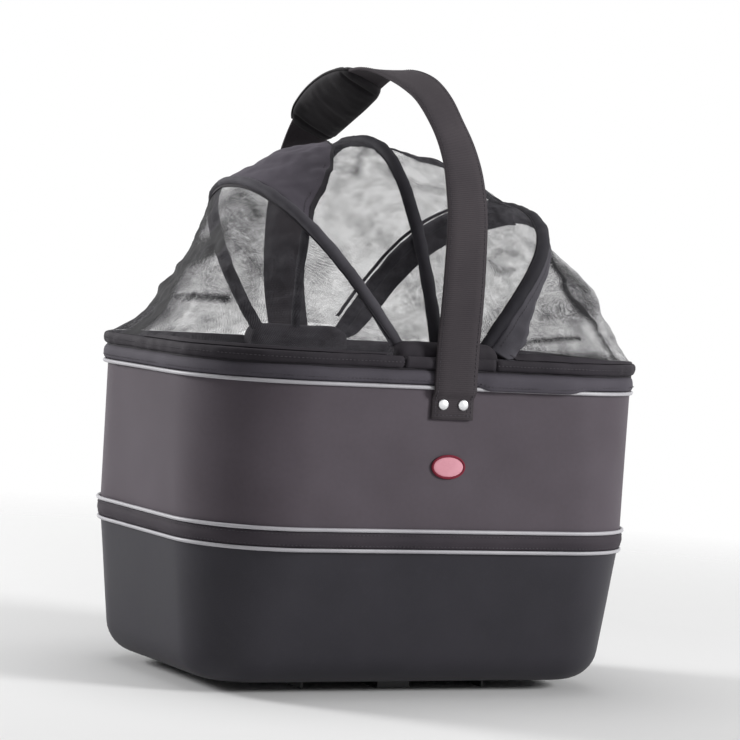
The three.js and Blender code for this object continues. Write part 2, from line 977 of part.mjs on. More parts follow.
function strapArch() {
  const rings = [];
  const heldAxis = new THREE.Vector3(1, 0, 0);
  const half = strap.thickness / 2;
  const roundEnd = (side) =>
    Array.from({ length: filletSteps }, (unused, i) => {
      const angle = ((i + 1 / 2) / filletSteps) * (Math.PI / 2);
      const z = strapPivotHeight - strapRadius * Math.cos(angle);
      const halfWidth = strapRadius * Math.sin(angle);
      const [inner, outer] = [side * (strapReach - half), side * (strapReach + half)];
      return [
        new THREE.Vector3(halfWidth, outer, z),
        new THREE.Vector3(halfWidth, inner, z),
        new THREE.Vector3(-halfWidth, inner, z),
        new THREE.Vector3(-halfWidth, outer, z),
      ];
    });
  rings.push(...roundEnd(-1));
  for (let i = 0; i <= strap.steps; i += 1) {
    const share = i / strap.steps;
    const middle = pointAlong(strapLine, share);
    const second = heldAxis.clone().cross(directionAlong(strapLine, share)).normalize();
    rings.push(
      [
        [strapRadius, half],
        [strapRadius, -half],
        [-strapRadius, -half],
        [-strapRadius, half],
      ].map(([a, b]) => middle.clone().addScaledVector(heldAxis, a).addScaledVector(second, -b)),
    );
  }
  rings.push(...roundEnd(1).reverse());
  return loft(rings);
}

const tabY = rimHalfWidth + clearance + strap.thickness / 2;
const tabTop = strapPivotHeight - strap.tabHorn;

function strapTab(side) {
  const half = strap.thickness / 2;
  const profile = [
    [tabY - half, tabFoot],
    [tabY + half, tabFoot],
    [tabY + half, joggleLow - hub.joggleHeight],
    [strapReach + half, joggleLow],
    [strapReach + half, tabTop],
    [strapReach - half, tabTop],
    [strapReach - half, joggleLow + half],
    [tabY - half, joggleLow - hub.joggleHeight + half],
  ].map(([y, z]) => [side * y, z]);
  const strip = alongX(profile, -strapRadius, strapRadius);
  const outline = roundedRectangle(
    -strapRadius,
    strapRadius,
    tabFoot,
    tabTop + overrun + strap.tabRound,
    strap.tabRound,
  );
  const near = Math.min(side * (tabY - half), side * (strapReach + half)) - overrun;
  const far = Math.max(side * (tabY - half), side * (strapReach + half)) + overrun;
  const seat = barAlongY(strapRadius + runningClearance, 0, near, far, strapPivotHeight);
  return cut(common(strip, uprightPlate(outline, near, far)), [seat, ...rivetHoles(side)]);
}

const rivetPlaces = [-strap.rivetSpacing / 2, strap.rivetSpacing / 2];

function rivetHoles(side) {
  const from = side * (hubOuterLow - hub.thickness - overrun);
  const to = side * (tabY + strap.thickness + overrun);
  return rivetPlaces.map((x) =>
    barAlongY(rivet.shankRadius + clearance, x, from, to, rivetHeight),
  );
}

// Domed head outside, shank through strap, wall and hub plate, flat tail inside
function rivetPiece(side, x) {
  const outer = tabY + strap.thickness / 2 + clearance;
  const inner = hubOuterLow - hub.thickness - clearance;
  const length = outer - inner;
  const dome = Array.from({ length: filletSteps + 1 }, (unused, i) => {
    const angle = (1 - i / filletSteps) * (Math.PI / 2);
    const radius = rivet.headRadius * Math.cos(angle);
    return new THREE.Vector2(radius, -rivet.headHeight * Math.sin(angle));
  });
  const profile = [
    ...dome,
    new THREE.Vector2(rivet.shankRadius, 0),
    new THREE.Vector2(rivet.shankRadius, length),
    new THREE.Vector2(rivet.tailRadius, length),
    new THREE.Vector2(rivet.tailRadius, length + rivet.tailHeight),
    new THREE.Vector2(0, length + rivet.tailHeight),
  ];
  const turned = new THREE.LatheGeometry(profile, roundSides);
  if (side > 0) {
    turned.rotateX(Math.PI);
  }
  return turned.translate(x, side * outer, rivetHeight);
}

addPiece("carry_strap", strapArch(), "webbing");
[-1, 1].forEach((side) => {
  const place = side < 0 ? "front" : "rear";
  addPiece(`strap_tab_${place}`, strapTab(side), "webbing");
  addPiece(`hub_plate_${place}`, cut(hubPlate(side), rivetHoles(side)), "blackSteel");
  addPiece(`hem_${place}`, hemMiddle(side), "hemTape");
  rivetPlaces.forEach((x, i) => {
    const number = (side < 0 ? 1 : 3) + i;
    addPiece(`strap_rivet_${number}`, rivetPiece(side, x), "steel");
  });
});

function gripSleeve() {
  const heldAxis = new THREE.Vector3(1, 0, 0);
  const ringFor = (share, halfWidth, halfThickness, squareness) => {
    const along = (sleeve.firstStation + share * sleeve.stations) / strap.steps;
    const middle = pointAlong(strapLine, along);
    const second = heldAxis.clone().cross(directionAlong(strapLine, along)).normalize();
    return Array.from({ length: roundSides }, (unused, i) => {
      const angle = (2 * Math.PI * (i + 1 / 2)) / roundSides;
      return middle
        .clone()
        .addScaledVector(heldAxis, halfWidth * signedPower(Math.cos(angle), squareness))
        .addScaledVector(second, halfThickness * signedPower(Math.sin(angle), squareness));
    });
  };
  const outerRings = [];
  const innerRings = [];
  for (let i = 0; i <= sleeve.stations; i += 1) {
    const share = i / sleeve.stations;
    const bulge = Math.sin(Math.PI * share) ** (1 / 2);
    const width = THREE.MathUtils.lerp(sleeve.endWidth, sleeve.width, bulge);
    const thickness = THREE.MathUtils.lerp(sleeve.thickness / 2, sleeve.thickness, bulge);
    outerRings.push(
      ringFor(share, width / 2 + clearance, thickness / 2 + clearance, sleeve.outerRoundShare),
    );
    innerRings.push(
      ringFor(
        share,
        strapRadius + 2 * clearance,
        strap.thickness / 2 + clearance,
        sleeve.innerRoundShare,
      ),
    );
  }
  return loft([...outerRings, ...innerRings.reverse()], true);
}
addPiece("grip_sleeve", gripSleeve(), "padding");

// Oval patch on the front wall
const patchFace = outlineAt(patchHeight - patch.height / 2).halfY + clearance;
const oval = new THREE.Shape().absellipse(
  0,
  patchHeight,
  patch.length / 2,
  patch.height / 2,
  0,
  2 * Math.PI,
  false,
);
addPiece("oval_patch", uprightPlate(oval, -patchFace - patch.thickness, -patchFace), "badge");

// Rear bracket: a channel section swept up the back, under the tub's edge and along its floor
const bracketBack = shell.width / 2 + trimOut + clearance;
const bracketBase = shell.standHeight - clearance;
const bracketDepth = bracketBase;
const bendRadius = shell.bottomFillet + clearance;
const bendHeight = shell.standHeight + shell.bottomFillet;
const bendOut = outlineAt(bendHeight).halfY + clearance;

function bracketLine() {
  const points = [
    new THREE.Vector3(0, bracketBack, bracketTop),
    new THREE.Vector3(0, bracketBack, (bracketTop + bandHigh) / 2),
    new THREE.Vector3(0, bracketBack, bandLow - bracket.bendDrop),
  ];
  const centreY = bendOut - bendRadius;
  for (let i = 0; i <= filletSteps; i += 1) {
    const angle = (i / filletSteps) * (Math.PI / 2);
    points.push(
      new THREE.Vector3(
        0,
        centreY + bendRadius * Math.cos(angle),
        bendHeight - bendRadius * Math.sin(angle),
      ),
    );
  }
  points.push(new THREE.Vector3(0, centreY / 2, bracketBase));
  points.push(new THREE.Vector3(0, -bracket.front, bracketBase));
  return points;
}

function bracketPiece() {
  const points = bracketLine();
  const base = bracketBase;
  const rings = points.map((point, i) => {
    const before = points[Math.max(0, i - 1)];
    const after = points[Math.min(points.length - 1, i + 1)];
    const way = after.clone().sub(before).normalize();
    const outward = new THREE.Vector3(0, -way.z, way.y);
    const rise = THREE.MathUtils.clamp((point.z - base) / (bracketTop - base), 0, 1);
    const half = THREE.MathUtils.lerp(bracket.baseWidth, bracket.topWidth, rise) / 2;
    const flat = Math.abs(way.z) < mergeTolerance || point.z - base < mergeTolerance;
    const rib = bracket.plate + (flat ? bracketDepth - bracket.plate : bracket.faintRib);
    const ribHalf = bracket.ribWidth / 2;
    return [
      [-half, 0],
      [half, 0],
      [half, bracketDepth],
      [half - bracket.edge, bracketDepth],
      [half - bracket.edge, bracket.plate],
      [ribHalf, bracket.plate],
      [ribHalf, rib],
      [-ribHalf, rib],
      [-ribHalf, bracket.plate],
      [bracket.edge - half, bracket.plate],
      [bracket.edge - half, bracketDepth],
      [-half, bracketDepth],
    ].map(([x, out]) => point.clone().setX(x).addScaledVector(outward, out));
  });
  return loft(rings);
}

// Hook plate with its T rail
const hookFace = bracketBack + bracket.plate + bracket.faintRib + clearance;
const hookOut = hookFace + hook.thickness;
const boltX = hook.width / 2 - hook.boltInset;
const boltHeights = [hookLow + hook.boltRise, hookHigh - hook.boltRise];
const stiffenerFace = outlineAt(stiffenerHigh).halfY + wallInner - clearance;
const stiffenerInner = stiffenerFace - stiffener.thickness;

const rearHoles = [-boltX, boltX].flatMap((x) =>
  boltHeights.map((z) =>
    barAlongY(
      bolt.shankRadius + clearance,
      x,
      stiffenerInner - overrun,
      hookOut + overrun,
      z,
    ),
  ),
);
const floorPlaces = [-baseScrew.offset, baseScrew.offset];
const floorHoles = floorPlaces.map((x) =>
  barAlongZ(
    baseScrew.shankRadius + clearance,
    x,
    baseScrew.setBack,
    -overrun,
    boardHigh + overrun,
  ),
);

addPiece("lower_tub", cut(tub, floorHoles), "tubFoam");
addPiece("floor_board", cut(board, floorHoles), "board");
addPiece(
  "upper_wall",
  cut(wall, [...rivetHoles(-1), ...rivetHoles(1), ...rearHoles]),
  "wallCloth",
);
addPiece("rear_bracket", cut(bracketPiece(), [...rearHoles, ...floorHoles]), "plastic");

const stiffenerShape = roundedRectangle(
  -stiffener.width / 2,
  stiffener.width / 2,
  stiffenerLow,
  stiffenerHigh,
  stiffener.corner,
);
addPiece(
  "rear_stiffener",
  cut(uprightPlate(stiffenerShape, stiffenerInner, stiffenerFace), rearHoles),
  "plastic",
);

const hookShape = roundedRectangle(
  -hook.width / 2,
  hook.width / 2,
  hookLow,
  hookHigh,
  hook.corner,
);
const stemOut = hookOut + hook.stemDepth;
const headOut = stemOut + hook.headDepth;
const hookPlate = join(
  cut(uprightPlate(hookShape, hookFace, hookOut), rearHoles),
  block(
    [-hook.stemWidth / 2, hookOut - hook.thickness / 2, railLow],
    [hook.stemWidth / 2, stemOut + hook.headDepth / 2, railHigh],
  ),
  block([-hook.headWidth / 2, stemOut, railLow], [hook.headWidth / 2, headOut, railHigh]),
);
addPiece("hook_plate", hookPlate, "plastic");

// Screws and bolts are turned on their own axis, head first
function screwProfile(headRadius, headHeight, shankRadius, length) {
  return [
    new THREE.Vector2(0, -headHeight),
    new THREE.Vector2(headRadius * headShares.crown, -headHeight),
    new THREE.Vector2(headRadius, -headHeight * headShares.edge),
    new THREE.Vector2(headRadius, 0),
    new THREE.Vector2(shankRadius, 0),
    new THREE.Vector2(shankRadius, length),
    new THREE.Vector2(0, length),
  ];
}

const boltHead = hookOut + clearance;
const nutFace = stiffenerInner - clearance;
const nutShape = new THREE.Shape(
  Array.from({ length: nutSides }, (unused, i) => {
    const angle = (i / nutSides) * 2 * Math.PI;
    return new THREE.Vector2(Math.cos(angle), Math.sin(angle)).multiplyScalar(
      bolt.nutAcross / 2 / Math.cos(Math.PI / nutSides),
    );
  }),
);
nutShape.holes.push(
  new THREE.Path().absarc(0, 0, bolt.shankRadius + clearance, 0, 2 * Math.PI, true),
);
let boltNumber = 0;
[-boltX, boltX].forEach((x) => {
  boltHeights.forEach((z) => {
    boltNumber += 1;
    const profile = screwProfile(
      bolt.headRadius,
      bolt.headHeight,
      bolt.shankRadius,
      boltHead - nutFace + bolt.nutHeight,
    );
    const shank = new THREE.LatheGeometry(profile, roundSides)
      .rotateX(Math.PI)
      .translate(x, boltHead, z);
    addPiece(`bracket_bolt_${boltNumber}`, shank, "steel");
    const nut = uprightPlate(nutShape, nutFace - bolt.nutHeight, nutFace).translate(x, 0, z);
    addPiece(`bracket_nut_${boltNumber}`, nut, "steel");
  });
});

const screwSeat = bracketBase - bracket.plate - clearance;
floorPlaces.forEach((x, i) => {
  const profile = screwProfile(
    baseScrew.headRadius,
    baseScrew.headHeight,
    baseScrew.shankRadius,
    boardHigh - screwSeat,
  );
  const screw = new THREE.LatheGeometry(profile, roundSides)
    .rotateX(Math.PI / 2)
    .translate(x, baseScrew.setBack, screwSeat);
  addPiece(`base_screw_${i + 1}`, screw, "steel");
});

// Handlebar adapter: a body with a T slot, two half clamps and a pocket for the button
const adapterFront = hookOut + clearance;
const adapterRear = adapterFront + adapter.depth;
const slotSeat = railLow - clearance;
const barY = adapterRear + adapter.barSetBack;
const boreRadius = adapter.barRadius + clearance;
const ringRadius = boreRadius + adapter.clampWall;
const clampPlaces = [-1, 1].map((side) => {
  const inner = adapter.width / 2 - adapter.clampWidth;
  const ends = [side * inner, side * (inner + adapter.clampWidth)];
  return { from: Math.min(...ends), to: Math.max(...ends) };
});
const bodyFace = barY - adapter.splitGap / 2;
const capFace = barY + adapter.splitGap / 2;
const earLow = barHeight - adapter.earHeight / 2;
const earHigh = barHeight + adapter.earHeight / 2;
const clampBolts = [-adapter.boltRise, adapter.boltRise].map((rise) => barHeight + rise);
const bore = barAlongX(boreRadius, -adapter.width, adapter.width, barY, barHeight);

const pocketNear = adapterFront + button.setBack;
const pocketFar = pocketNear + button.depth + 2 * clearance;
const pocketHalf = button.width / 2 + clearance;
const buttonTop = adapterHigh + button.proud;
const buttonLow = buttonTop - button.height;
const springLength = button.travel + 2 * spring.turns * spring.wireRadius * spring.packShare;
const pocketFloor = buttonLow - springLength - clearance;

const bodyShape = roundedRectangle(
  -adapter.width / 2,
  adapter.width / 2,
  adapterLow,
  adapterHigh,
  adapter.edgeRound,
);

function clampHoles(x) {
  return clampBolts.map((z) =>
    barAlongY(
      bolt.shankRadius + clearance,
      x,
      bodyFace - adapter.boltDepth,
      barY + ringRadius + overrun,
      z,
    ),
  );
}

const clampArms = clampPlaces.map(({ from, to }) =>
  alongX(
    [
      [adapterRear - overrun, adapterLow],
      [bodyFace - adapter.earThickness, earLow],
      [bodyFace, earLow],
      [bodyFace, earHigh],
      [bodyFace - adapter.earThickness, earHigh],
      [adapterRear - overrun, adapterHigh],
    ],
    from,
    to,
  ),
);
const clampMiddles = clampPlaces.map(({ from, to }) => (from + to) / 2);
const slot = [
  block(
    [-hook.stemWidth / 2 - clearance, adapterFront - overrun, slotSeat],
    [hook.stemWidth / 2 + clearance, stemOut, adapterHigh + overrun],
  ),
  block(
    [-hook.headWidth / 2 - clearance, stemOut - clearance, slotSeat],
    [hook.headWidth / 2 + clearance, headOut + clearance, adapterHigh + overrun],
  ),
];
const pocket = block(
  [-pocketHalf, pocketNear, pocketFloor],
  [pocketHalf, pocketFar, adapterHigh + overrun],
);
const adapterBody = cut(
  join(uprightPlate(bodyShape, adapterFront, adapterRear), ...clampArms),
  [...slot, pocket, bore, ...clampMiddles.flatMap(clampHoles)],
);
addPiece("adapter_body", adapterBody, "plastic");

clampPlaces.forEach(({ from, to }, i) => {
  const side = i === 0 ? "left" : "right";
  const ears = block([from, capFace, earLow], [to, capFace + adapter.earThickness, earHigh]);
  const ring = barAlongX(ringRadius, from, to, barY, barHeight);
  const rearHalf = block(
    [from - overrun, capFace, earLow],
    [to + overrun, barY + 2 * ringRadius, earHigh],
  );
  const cap = cut(common(join(ears, ring), rearHalf), [bore, ...clampHoles(clampMiddles[i])]);
  addPiece(`clamp_cap_${side}`, cap, "plastic");
  clampBolts.forEach((z, j) => {
    const headFace = capFace + adapter.earThickness + clearance;
    const profile = screwProfile(
      bolt.headRadius,
      bolt.headHeight,
      bolt.shankRadius,
      headFace - bodyFace + adapter.boltDepth - 2 * clearance,
    );
    const shank = new THREE.LatheGeometry(profile, roundSides)
      .rotateX(Math.PI)
      .translate(clampMiddles[i], headFace, z);
    addPiece(`clamp_bolt_${2 * i + j + 1}`, shank, "steel");
  });
});

// Push button in its pocket, on a coil spring
const buttonShape = roundedRectangle(
  -button.width / 2,
  button.width / 2,
  buttonLow,
  buttonTop,
  button.round,
);
addPiece(
  "release_button",
  uprightPlate(buttonShape, pocketNear + clearance, pocketFar - clearance),
  "signal",
);

const springY = (pocketNear + pocketFar) / 2;
function springCoil() {
  const steps = spring.turns * spring.stepsPerTurn;
  const low = pocketFloor + clearance + spring.wireRadius;
  const high = buttonLow - clearance - spring.wireRadius;
  const rings = [];
  for (let i = 0; i <= steps; i += 1) {
    const angle = (i / spring.stepsPerTurn) * 2 * Math.PI;
    const out = new THREE.Vector3(Math.cos(angle), Math.sin(angle), 0);
    const middle = out
      .clone()
      .multiplyScalar(spring.radius)
      .setZ(THREE.MathUtils.lerp(low, high, i / steps))
      .add(new THREE.Vector3(0, springY, 0));
    rings.push(
      circleSection(0, 0, spring.wireRadius, spring.sides).map(([a, b]) =>
        middle.clone().addScaledVector(out, a).setZ(middle.z + b),
      ),
    );
  }
  return loft(rings);
}
addPiece("button_spring", springCoil(), "steel");

// Zip sliders and pulls on the rear side
const zipNear = rimHalfWidth + hemOut + clearance;
const zipHeight = (tapeTop + hemLow) / 2;
const pullEye = 2 * zip.pinRadius + clearance;
const zipPinY = zipNear + zip.depth + clearance + pullEye;

[-1, 1].forEach((side) => {
  const name = side < 0 ? "left" : "right";
  const x = side * zip.offset;
  const low = zipHeight - zip.height / 2;
  const high = zipHeight + zip.height / 2;
  const bodyHalf = zip.width / 2;
  const ears = [-bodyHalf, bodyHalf - zip.earWidth].map((from) =>
    block(
      [x + from, zipNear + zip.depth / 2, zipHeight - 2 * zip.pinRadius],
      [x + from + zip.earWidth, zipPinY + 2 * zip.pinRadius, zipHeight + 2 * zip.pinRadius],
    ),
  );
  const slider = join(
    block([x - bodyHalf, zipNear, low], [x + bodyHalf, zipNear + zip.depth, high]),
    ...ears,
    barAlongX(
      zip.pinRadius,
      x - bodyHalf + zip.earWidth / 2,
      x + bodyHalf - zip.earWidth / 2,
      zipPinY,
      zipHeight,
    ),
  );
  addPiece(`zip_slider_${name}`, slider, "steel");
  const half = zip.pullWidth / 2;
  const blade = uprightPlate(
    roundedRectangle(x - half, x + half, zipHeight - zip.pullLength, zipHeight, zip.pullThickness),
    zipPinY - zip.pullThickness / 2,
    zipPinY + zip.pullThickness / 2,
  );
  const pull = cut(join(blade, barAlongX(pullEye, x - half, x + half, zipPinY, zipHeight)), [
    barAlongX(zip.pinRadius + clearance, x - 2 * half, x + 2 * half, zipPinY, zipHeight),
  ]);
  addPiece(`zip_pull_${name}`, pull, "steel");
});

export default basket;
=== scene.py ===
import math

import bmesh
import bpy
import numpy as np
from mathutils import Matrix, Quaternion, Vector, noise


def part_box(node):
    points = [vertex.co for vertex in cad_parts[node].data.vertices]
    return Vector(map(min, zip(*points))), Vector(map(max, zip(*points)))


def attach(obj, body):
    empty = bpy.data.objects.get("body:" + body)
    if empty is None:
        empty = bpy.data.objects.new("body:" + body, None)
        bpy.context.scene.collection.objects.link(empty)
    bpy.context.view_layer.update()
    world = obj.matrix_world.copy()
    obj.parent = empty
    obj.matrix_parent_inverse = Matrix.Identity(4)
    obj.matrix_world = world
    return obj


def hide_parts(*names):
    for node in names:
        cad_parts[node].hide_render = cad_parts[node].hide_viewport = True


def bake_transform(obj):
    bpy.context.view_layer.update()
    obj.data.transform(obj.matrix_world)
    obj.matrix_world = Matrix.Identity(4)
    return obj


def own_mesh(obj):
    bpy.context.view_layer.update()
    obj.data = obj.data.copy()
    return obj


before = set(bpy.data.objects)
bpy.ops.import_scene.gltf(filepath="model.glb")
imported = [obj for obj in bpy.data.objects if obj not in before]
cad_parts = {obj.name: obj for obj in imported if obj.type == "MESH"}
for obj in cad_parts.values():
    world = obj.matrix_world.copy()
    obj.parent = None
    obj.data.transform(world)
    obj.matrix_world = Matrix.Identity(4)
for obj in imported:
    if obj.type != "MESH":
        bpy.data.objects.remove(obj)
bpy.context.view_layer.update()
scene = bpy.context.scene
mm = 0.001

# camera: the photograph's own place, aimed at the middle of the basket
cameraView = {
    "place": (-1.22571, -2.3434, 0.36727),
    "lookAt": (0.00116, 0.0, 0.2559),
    "rollDegrees": 3.681,
    "lens": 153.6,
    "sensor": 36,
    "clip": (0.01, 60),
}


def makeCamera(view):
    camera = bpy.data.objects.new("camera", bpy.data.cameras.new("camera"))
    scene.collection.objects.link(camera)
    camera.data.lens = view["lens"]
    camera.data.sensor_width = view["sensor"]
    camera.data.clip_start, camera.data.clip_end = view["clip"]
    camera.location = view["place"]
    towards = Vector(view["lookAt"]) - Vector(view["place"])
    roll = Quaternion((0, 0, 1), math.radians(view["rollDegrees"]))
    camera.rotation_mode = "QUATERNION"
    camera.rotation_quaternion = towards.to_track_quat("-Z", "Y") @ roll
    scene.camera = camera


makeCamera(cameraView)
print("camera placed")


# materials
def tint(red, green, blue):  # a colour as it is read off a screen, 0 to 255
    def linear(value):
        value = value / 255
        return value / 12.92 if value <= 0.04045 else ((value + 0.055) / 1.055) ** 2.4
    return (linear(red), linear(green), linear(blue), 1)


class Socket:  # a node's output, so that sums of sockets read as sums
    def __init__(self, maker, output):
        self.maker = maker
        self.output = output

    def maths(self, operation, second=0.5):
        return self.maker.node("ShaderNodeMath", {0: self, 1: second}, operation=operation)

    def __add__(self, other):
        return self.maths("ADD", other)

    def __sub__(self, other):
        return self.maths("SUBTRACT", other)

    def __mul__(self, other):
        return self.maths("MULTIPLY", other)

    def __truediv__(self, other):
        return self.maths("DIVIDE", other)

    def __gt__(self, other):
        return self.maths("GREATER_THAN", other)

    __radd__ = __add__


class NodeMaker:  # adds nodes to a tree, with their settings first and then their values and links
    def __init__(self, tree):
        self.tree = tree

    def fill(self, made, inputs):
        for name, value in inputs.items():
            if isinstance(value, Socket):
                self.tree.links.new(value.output, made.inputs[name])
            else:
                made.inputs[name].default_value = value

    def node(self, kind, inputs, output=0, **settings):
        made = self.tree.nodes.new(kind)
        for name, value in settings.items():
            setattr(made, name, value)
        self.fill(made, inputs)
        return None if output is None else Socket(self, made.outputs[output])


class Finish(NodeMaker):  # a material
    def __init__(self, name, **constants):
        self.material = bpy.data.materials.new(name)
        self.material.use_nodes = True
        super().__init__(self.material.node_tree)
        self.shader = self.tree.nodes["Principled BSDF"]
        self.set(**constants)

    def set(self, **inputs):
        self.fill(self.shader, {key.replace("_", " "): value for key, value in inputs.items()})

    def lay(self):  # the piece's own UV map, in metres of cloth
        return self.node("ShaderNodeUVMap", {}, uv_map="lay")

    def place(self):
        return self.node("ShaderNodeTexCoord", {}, "Object")

    def split(self, vector):
        made = self.node("ShaderNodeSeparateXYZ", {0: vector}).output.node
        return [Socket(self, made.outputs[i]) for i in range(3)]

    def cloud(self, vector, size, detail=3, roughness=0.5):  # soft noise with lumps of that size
        inputs = {"Vector": vector, "Scale": 1 / size, "Detail": detail, "Roughness": roughness}
        return self.node("ShaderNodeTexNoise", inputs)

    def ramp(self, value, *stops):  # from one shade to another, given as (place, shade)
        made = self.node("ShaderNodeValToRGB", {0: value})
        for element, (place, shade) in zip(made.output.node.color_ramp.elements, stops):
            element.position = place
            element.color = (shade, shade, shade, 1)
        return made

    def blend(self, share, first, second):
        return self.node("ShaderNodeMix", {0: share, 6: first, 7: second}, 2, data_type="RGBA")

    def sine(self, value, pitch, phase=0.0):  # 0 to 1, once for each pitch
        return (value * (2 * math.pi / pitch) + phase).maths("SINE") * 0.5 + 0.5

    def dress(self, colour, roughness, height, strength, depth):
        bump = self.node("ShaderNodeBump", {"Strength": strength, "Distance": depth, "Height": height})
        self.set(Base_Color=colour, Roughness=roughness, Normal=bump)
        return self.material


# sizes of the soft noise in the materials and depths of their relief
lumps = {"slub": 4 * mm, "cloth": 60 * mm, "webbing": 45 * mm, "moulded": 50 * mm, "rubbed": 9 * mm}
depths = {"cloth": 0.25 * mm, "webbing": 0.3 * mm, "moulded": 0.12 * mm, "metal": 0.03 * mm, "net": 0.3 * mm}


def wovenFinish(name, dark, light, pitch=0.5, rough=0.75, relief=0.4, shine=0.2, mapped=True):
    # plain weave on the piece's own UV map or on Object coordinates, with soft lighter and darker areas
    made = Finish(name, Specular_IOR_Level=shine)
    lay = made.lay() if mapped else made.place()
    u, v, w = made.split(lay)
    if not mapped:
        u, v = u + w * 0.71, v - w * 0.63
    turn = 2 * pitch * mm
    threads = made.sine(u, turn) * made.sine(v, turn)
    weave = threads + made.sine(u, turn, math.pi) * made.sine(v, turn, math.pi)
    slub = made.cloud(lay, lumps["slub"])
    areas = made.cloud(made.place(), lumps["cloth"], 2)
    share = made.ramp(areas * 0.55 + slub * 0.2 + weave * 0.25, (0.25, 0), (0.75, 1))
    colour = made.blend(share, tint(*dark), tint(*light))
    return made.dress(colour, rough + (slub - 0.5) * 0.16, weave * 0.7 + slub * 0.6, relief, depths["cloth"])


def ribbedFinish(name, dark, light, pitch, rough, relief, shine):
    # webbing: ribs across the tape, with a small twill between them
    made = Finish(name, Specular_IOR_Level=shine)
    lay = made.lay()
    u, v, _ = made.split(lay)
    ribs = made.sine(v, pitch * mm)
    twill = made.sine(u + v, pitch * mm * 0.8)
    slub = made.cloud(lay, 3 * mm)
    areas = made.cloud(made.place(), lumps["webbing"], 2)
    share = made.ramp(areas * 0.5 + slub * 0.2 + ribs * 0.2 + twill * 0.1, (0.25, 0), (0.75, 1))
    colour = made.blend(share, tint(*dark), tint(*light))
    height = ribs * 0.7 + twill * 0.3 + slub * 0.3
    return made.dress(colour, rough + (slub - 0.5) * 0.16, height, relief, depths["webbing"])


def mouldedFinish(name, dark, light, rough, shine=0.3, grain=0.8):
    # plastic, foam or coated metal on Object coordinates: fine grain, soft areas, paler rubbed spots
    made = Finish(name, Specular_IOR_Level=shine)
    place = made.place()
    pebbles = made.node("ShaderNodeTexVoronoi", {"Vector": place, "Scale": 1 / (grain * mm)})
    areas = made.cloud(place, lumps["moulded"])
    rubbed = made.ramp(made.cloud(place, lumps["rubbed"], 5, 0.6), (0.55, 0), (0.8, 1))
    share = made.ramp(areas * 0.6 + pebbles * 0.25 + rubbed * 0.15, (0.2, 0), (0.8, 1))
    colour = made.blend(share, tint(*dark), tint(*light))
    return made.dress(colour, rough + (areas - 0.5) * 0.2 + rubbed * 0.06, pebbles, 0.2, depths["moulded"])


def metalFinish(name, dark, light, rough=0.3):
    # bright metal: brushed streaks and faint smears; its colours are linear ones
    made = Finish(name, Metallic=1.0)
    place = made.place()
    drawn = made.node("ShaderNodeMapping", {"Vector": place, "Scale": (9000, 900, 900)})
    streaks = made.cloud(drawn, 1)
    smears = made.cloud(place, 6 * mm)
    colour = made.blend(smears * 0.6 + streaks * 0.4, dark, light)
    roughness = rough + streaks * 0.12 + (smears - 0.5) * 0.2
    return made.dress(colour, roughness, streaks, 0.1, depths["metal"])


netting = {
    "pitch": 1.5 * mm,  # of the open cells
    "thread": 0.12,  # share of a cell that a thread takes up
    "gathered": 0.56,  # what is added to it where the net is doubled or bunched
    "colours": (tint(62, 60, 64), tint(84, 82, 88)),
    "foldShadeColour": tint(22, 21, 24),  # painted shade: the darker colour where it lies in folds
    "steepness": 1.3,  # how soon the net takes that colour
}


def netFinish():  # open mesh, closer where its attribute says that it is bunched, with painted shade in its colour there
    made = Finish("fineNet", Roughness=0.7, Specular_IOR_Level=0.2)
    u, v, _ = made.split(made.lay())
    gatherAndShade = made.node("ShaderNodeAttribute", {}, "Fac", attribute_name="gatherAndShade")
    width = gatherAndShade * netting["gathered"] + netting["thread"]

    def threads(value):
        middle = ((value / netting["pitch"]).maths("FRACT") - 0.5).maths("ABSOLUTE")
        return width * 0.5 > middle

    covered = (threads(u + v) + threads(u - v)).maths("MINIMUM", 1.0)
    slub = made.cloud(made.lay(), 5 * mm)
    single = made.blend(slub, *netting["colours"])
    # painted shade: where the net is bunched its colour goes towards the dark fold colour
    foldShadeShare = (gatherAndShade * gatherAndShade * netting["steepness"]).maths("MINIMUM", 1.0)
    made.set(Alpha=covered)
    return made.dress(made.blend(foldShadeShare, single, netting["foldShadeColour"]), 0.7, slub, 0.3, depths["net"])


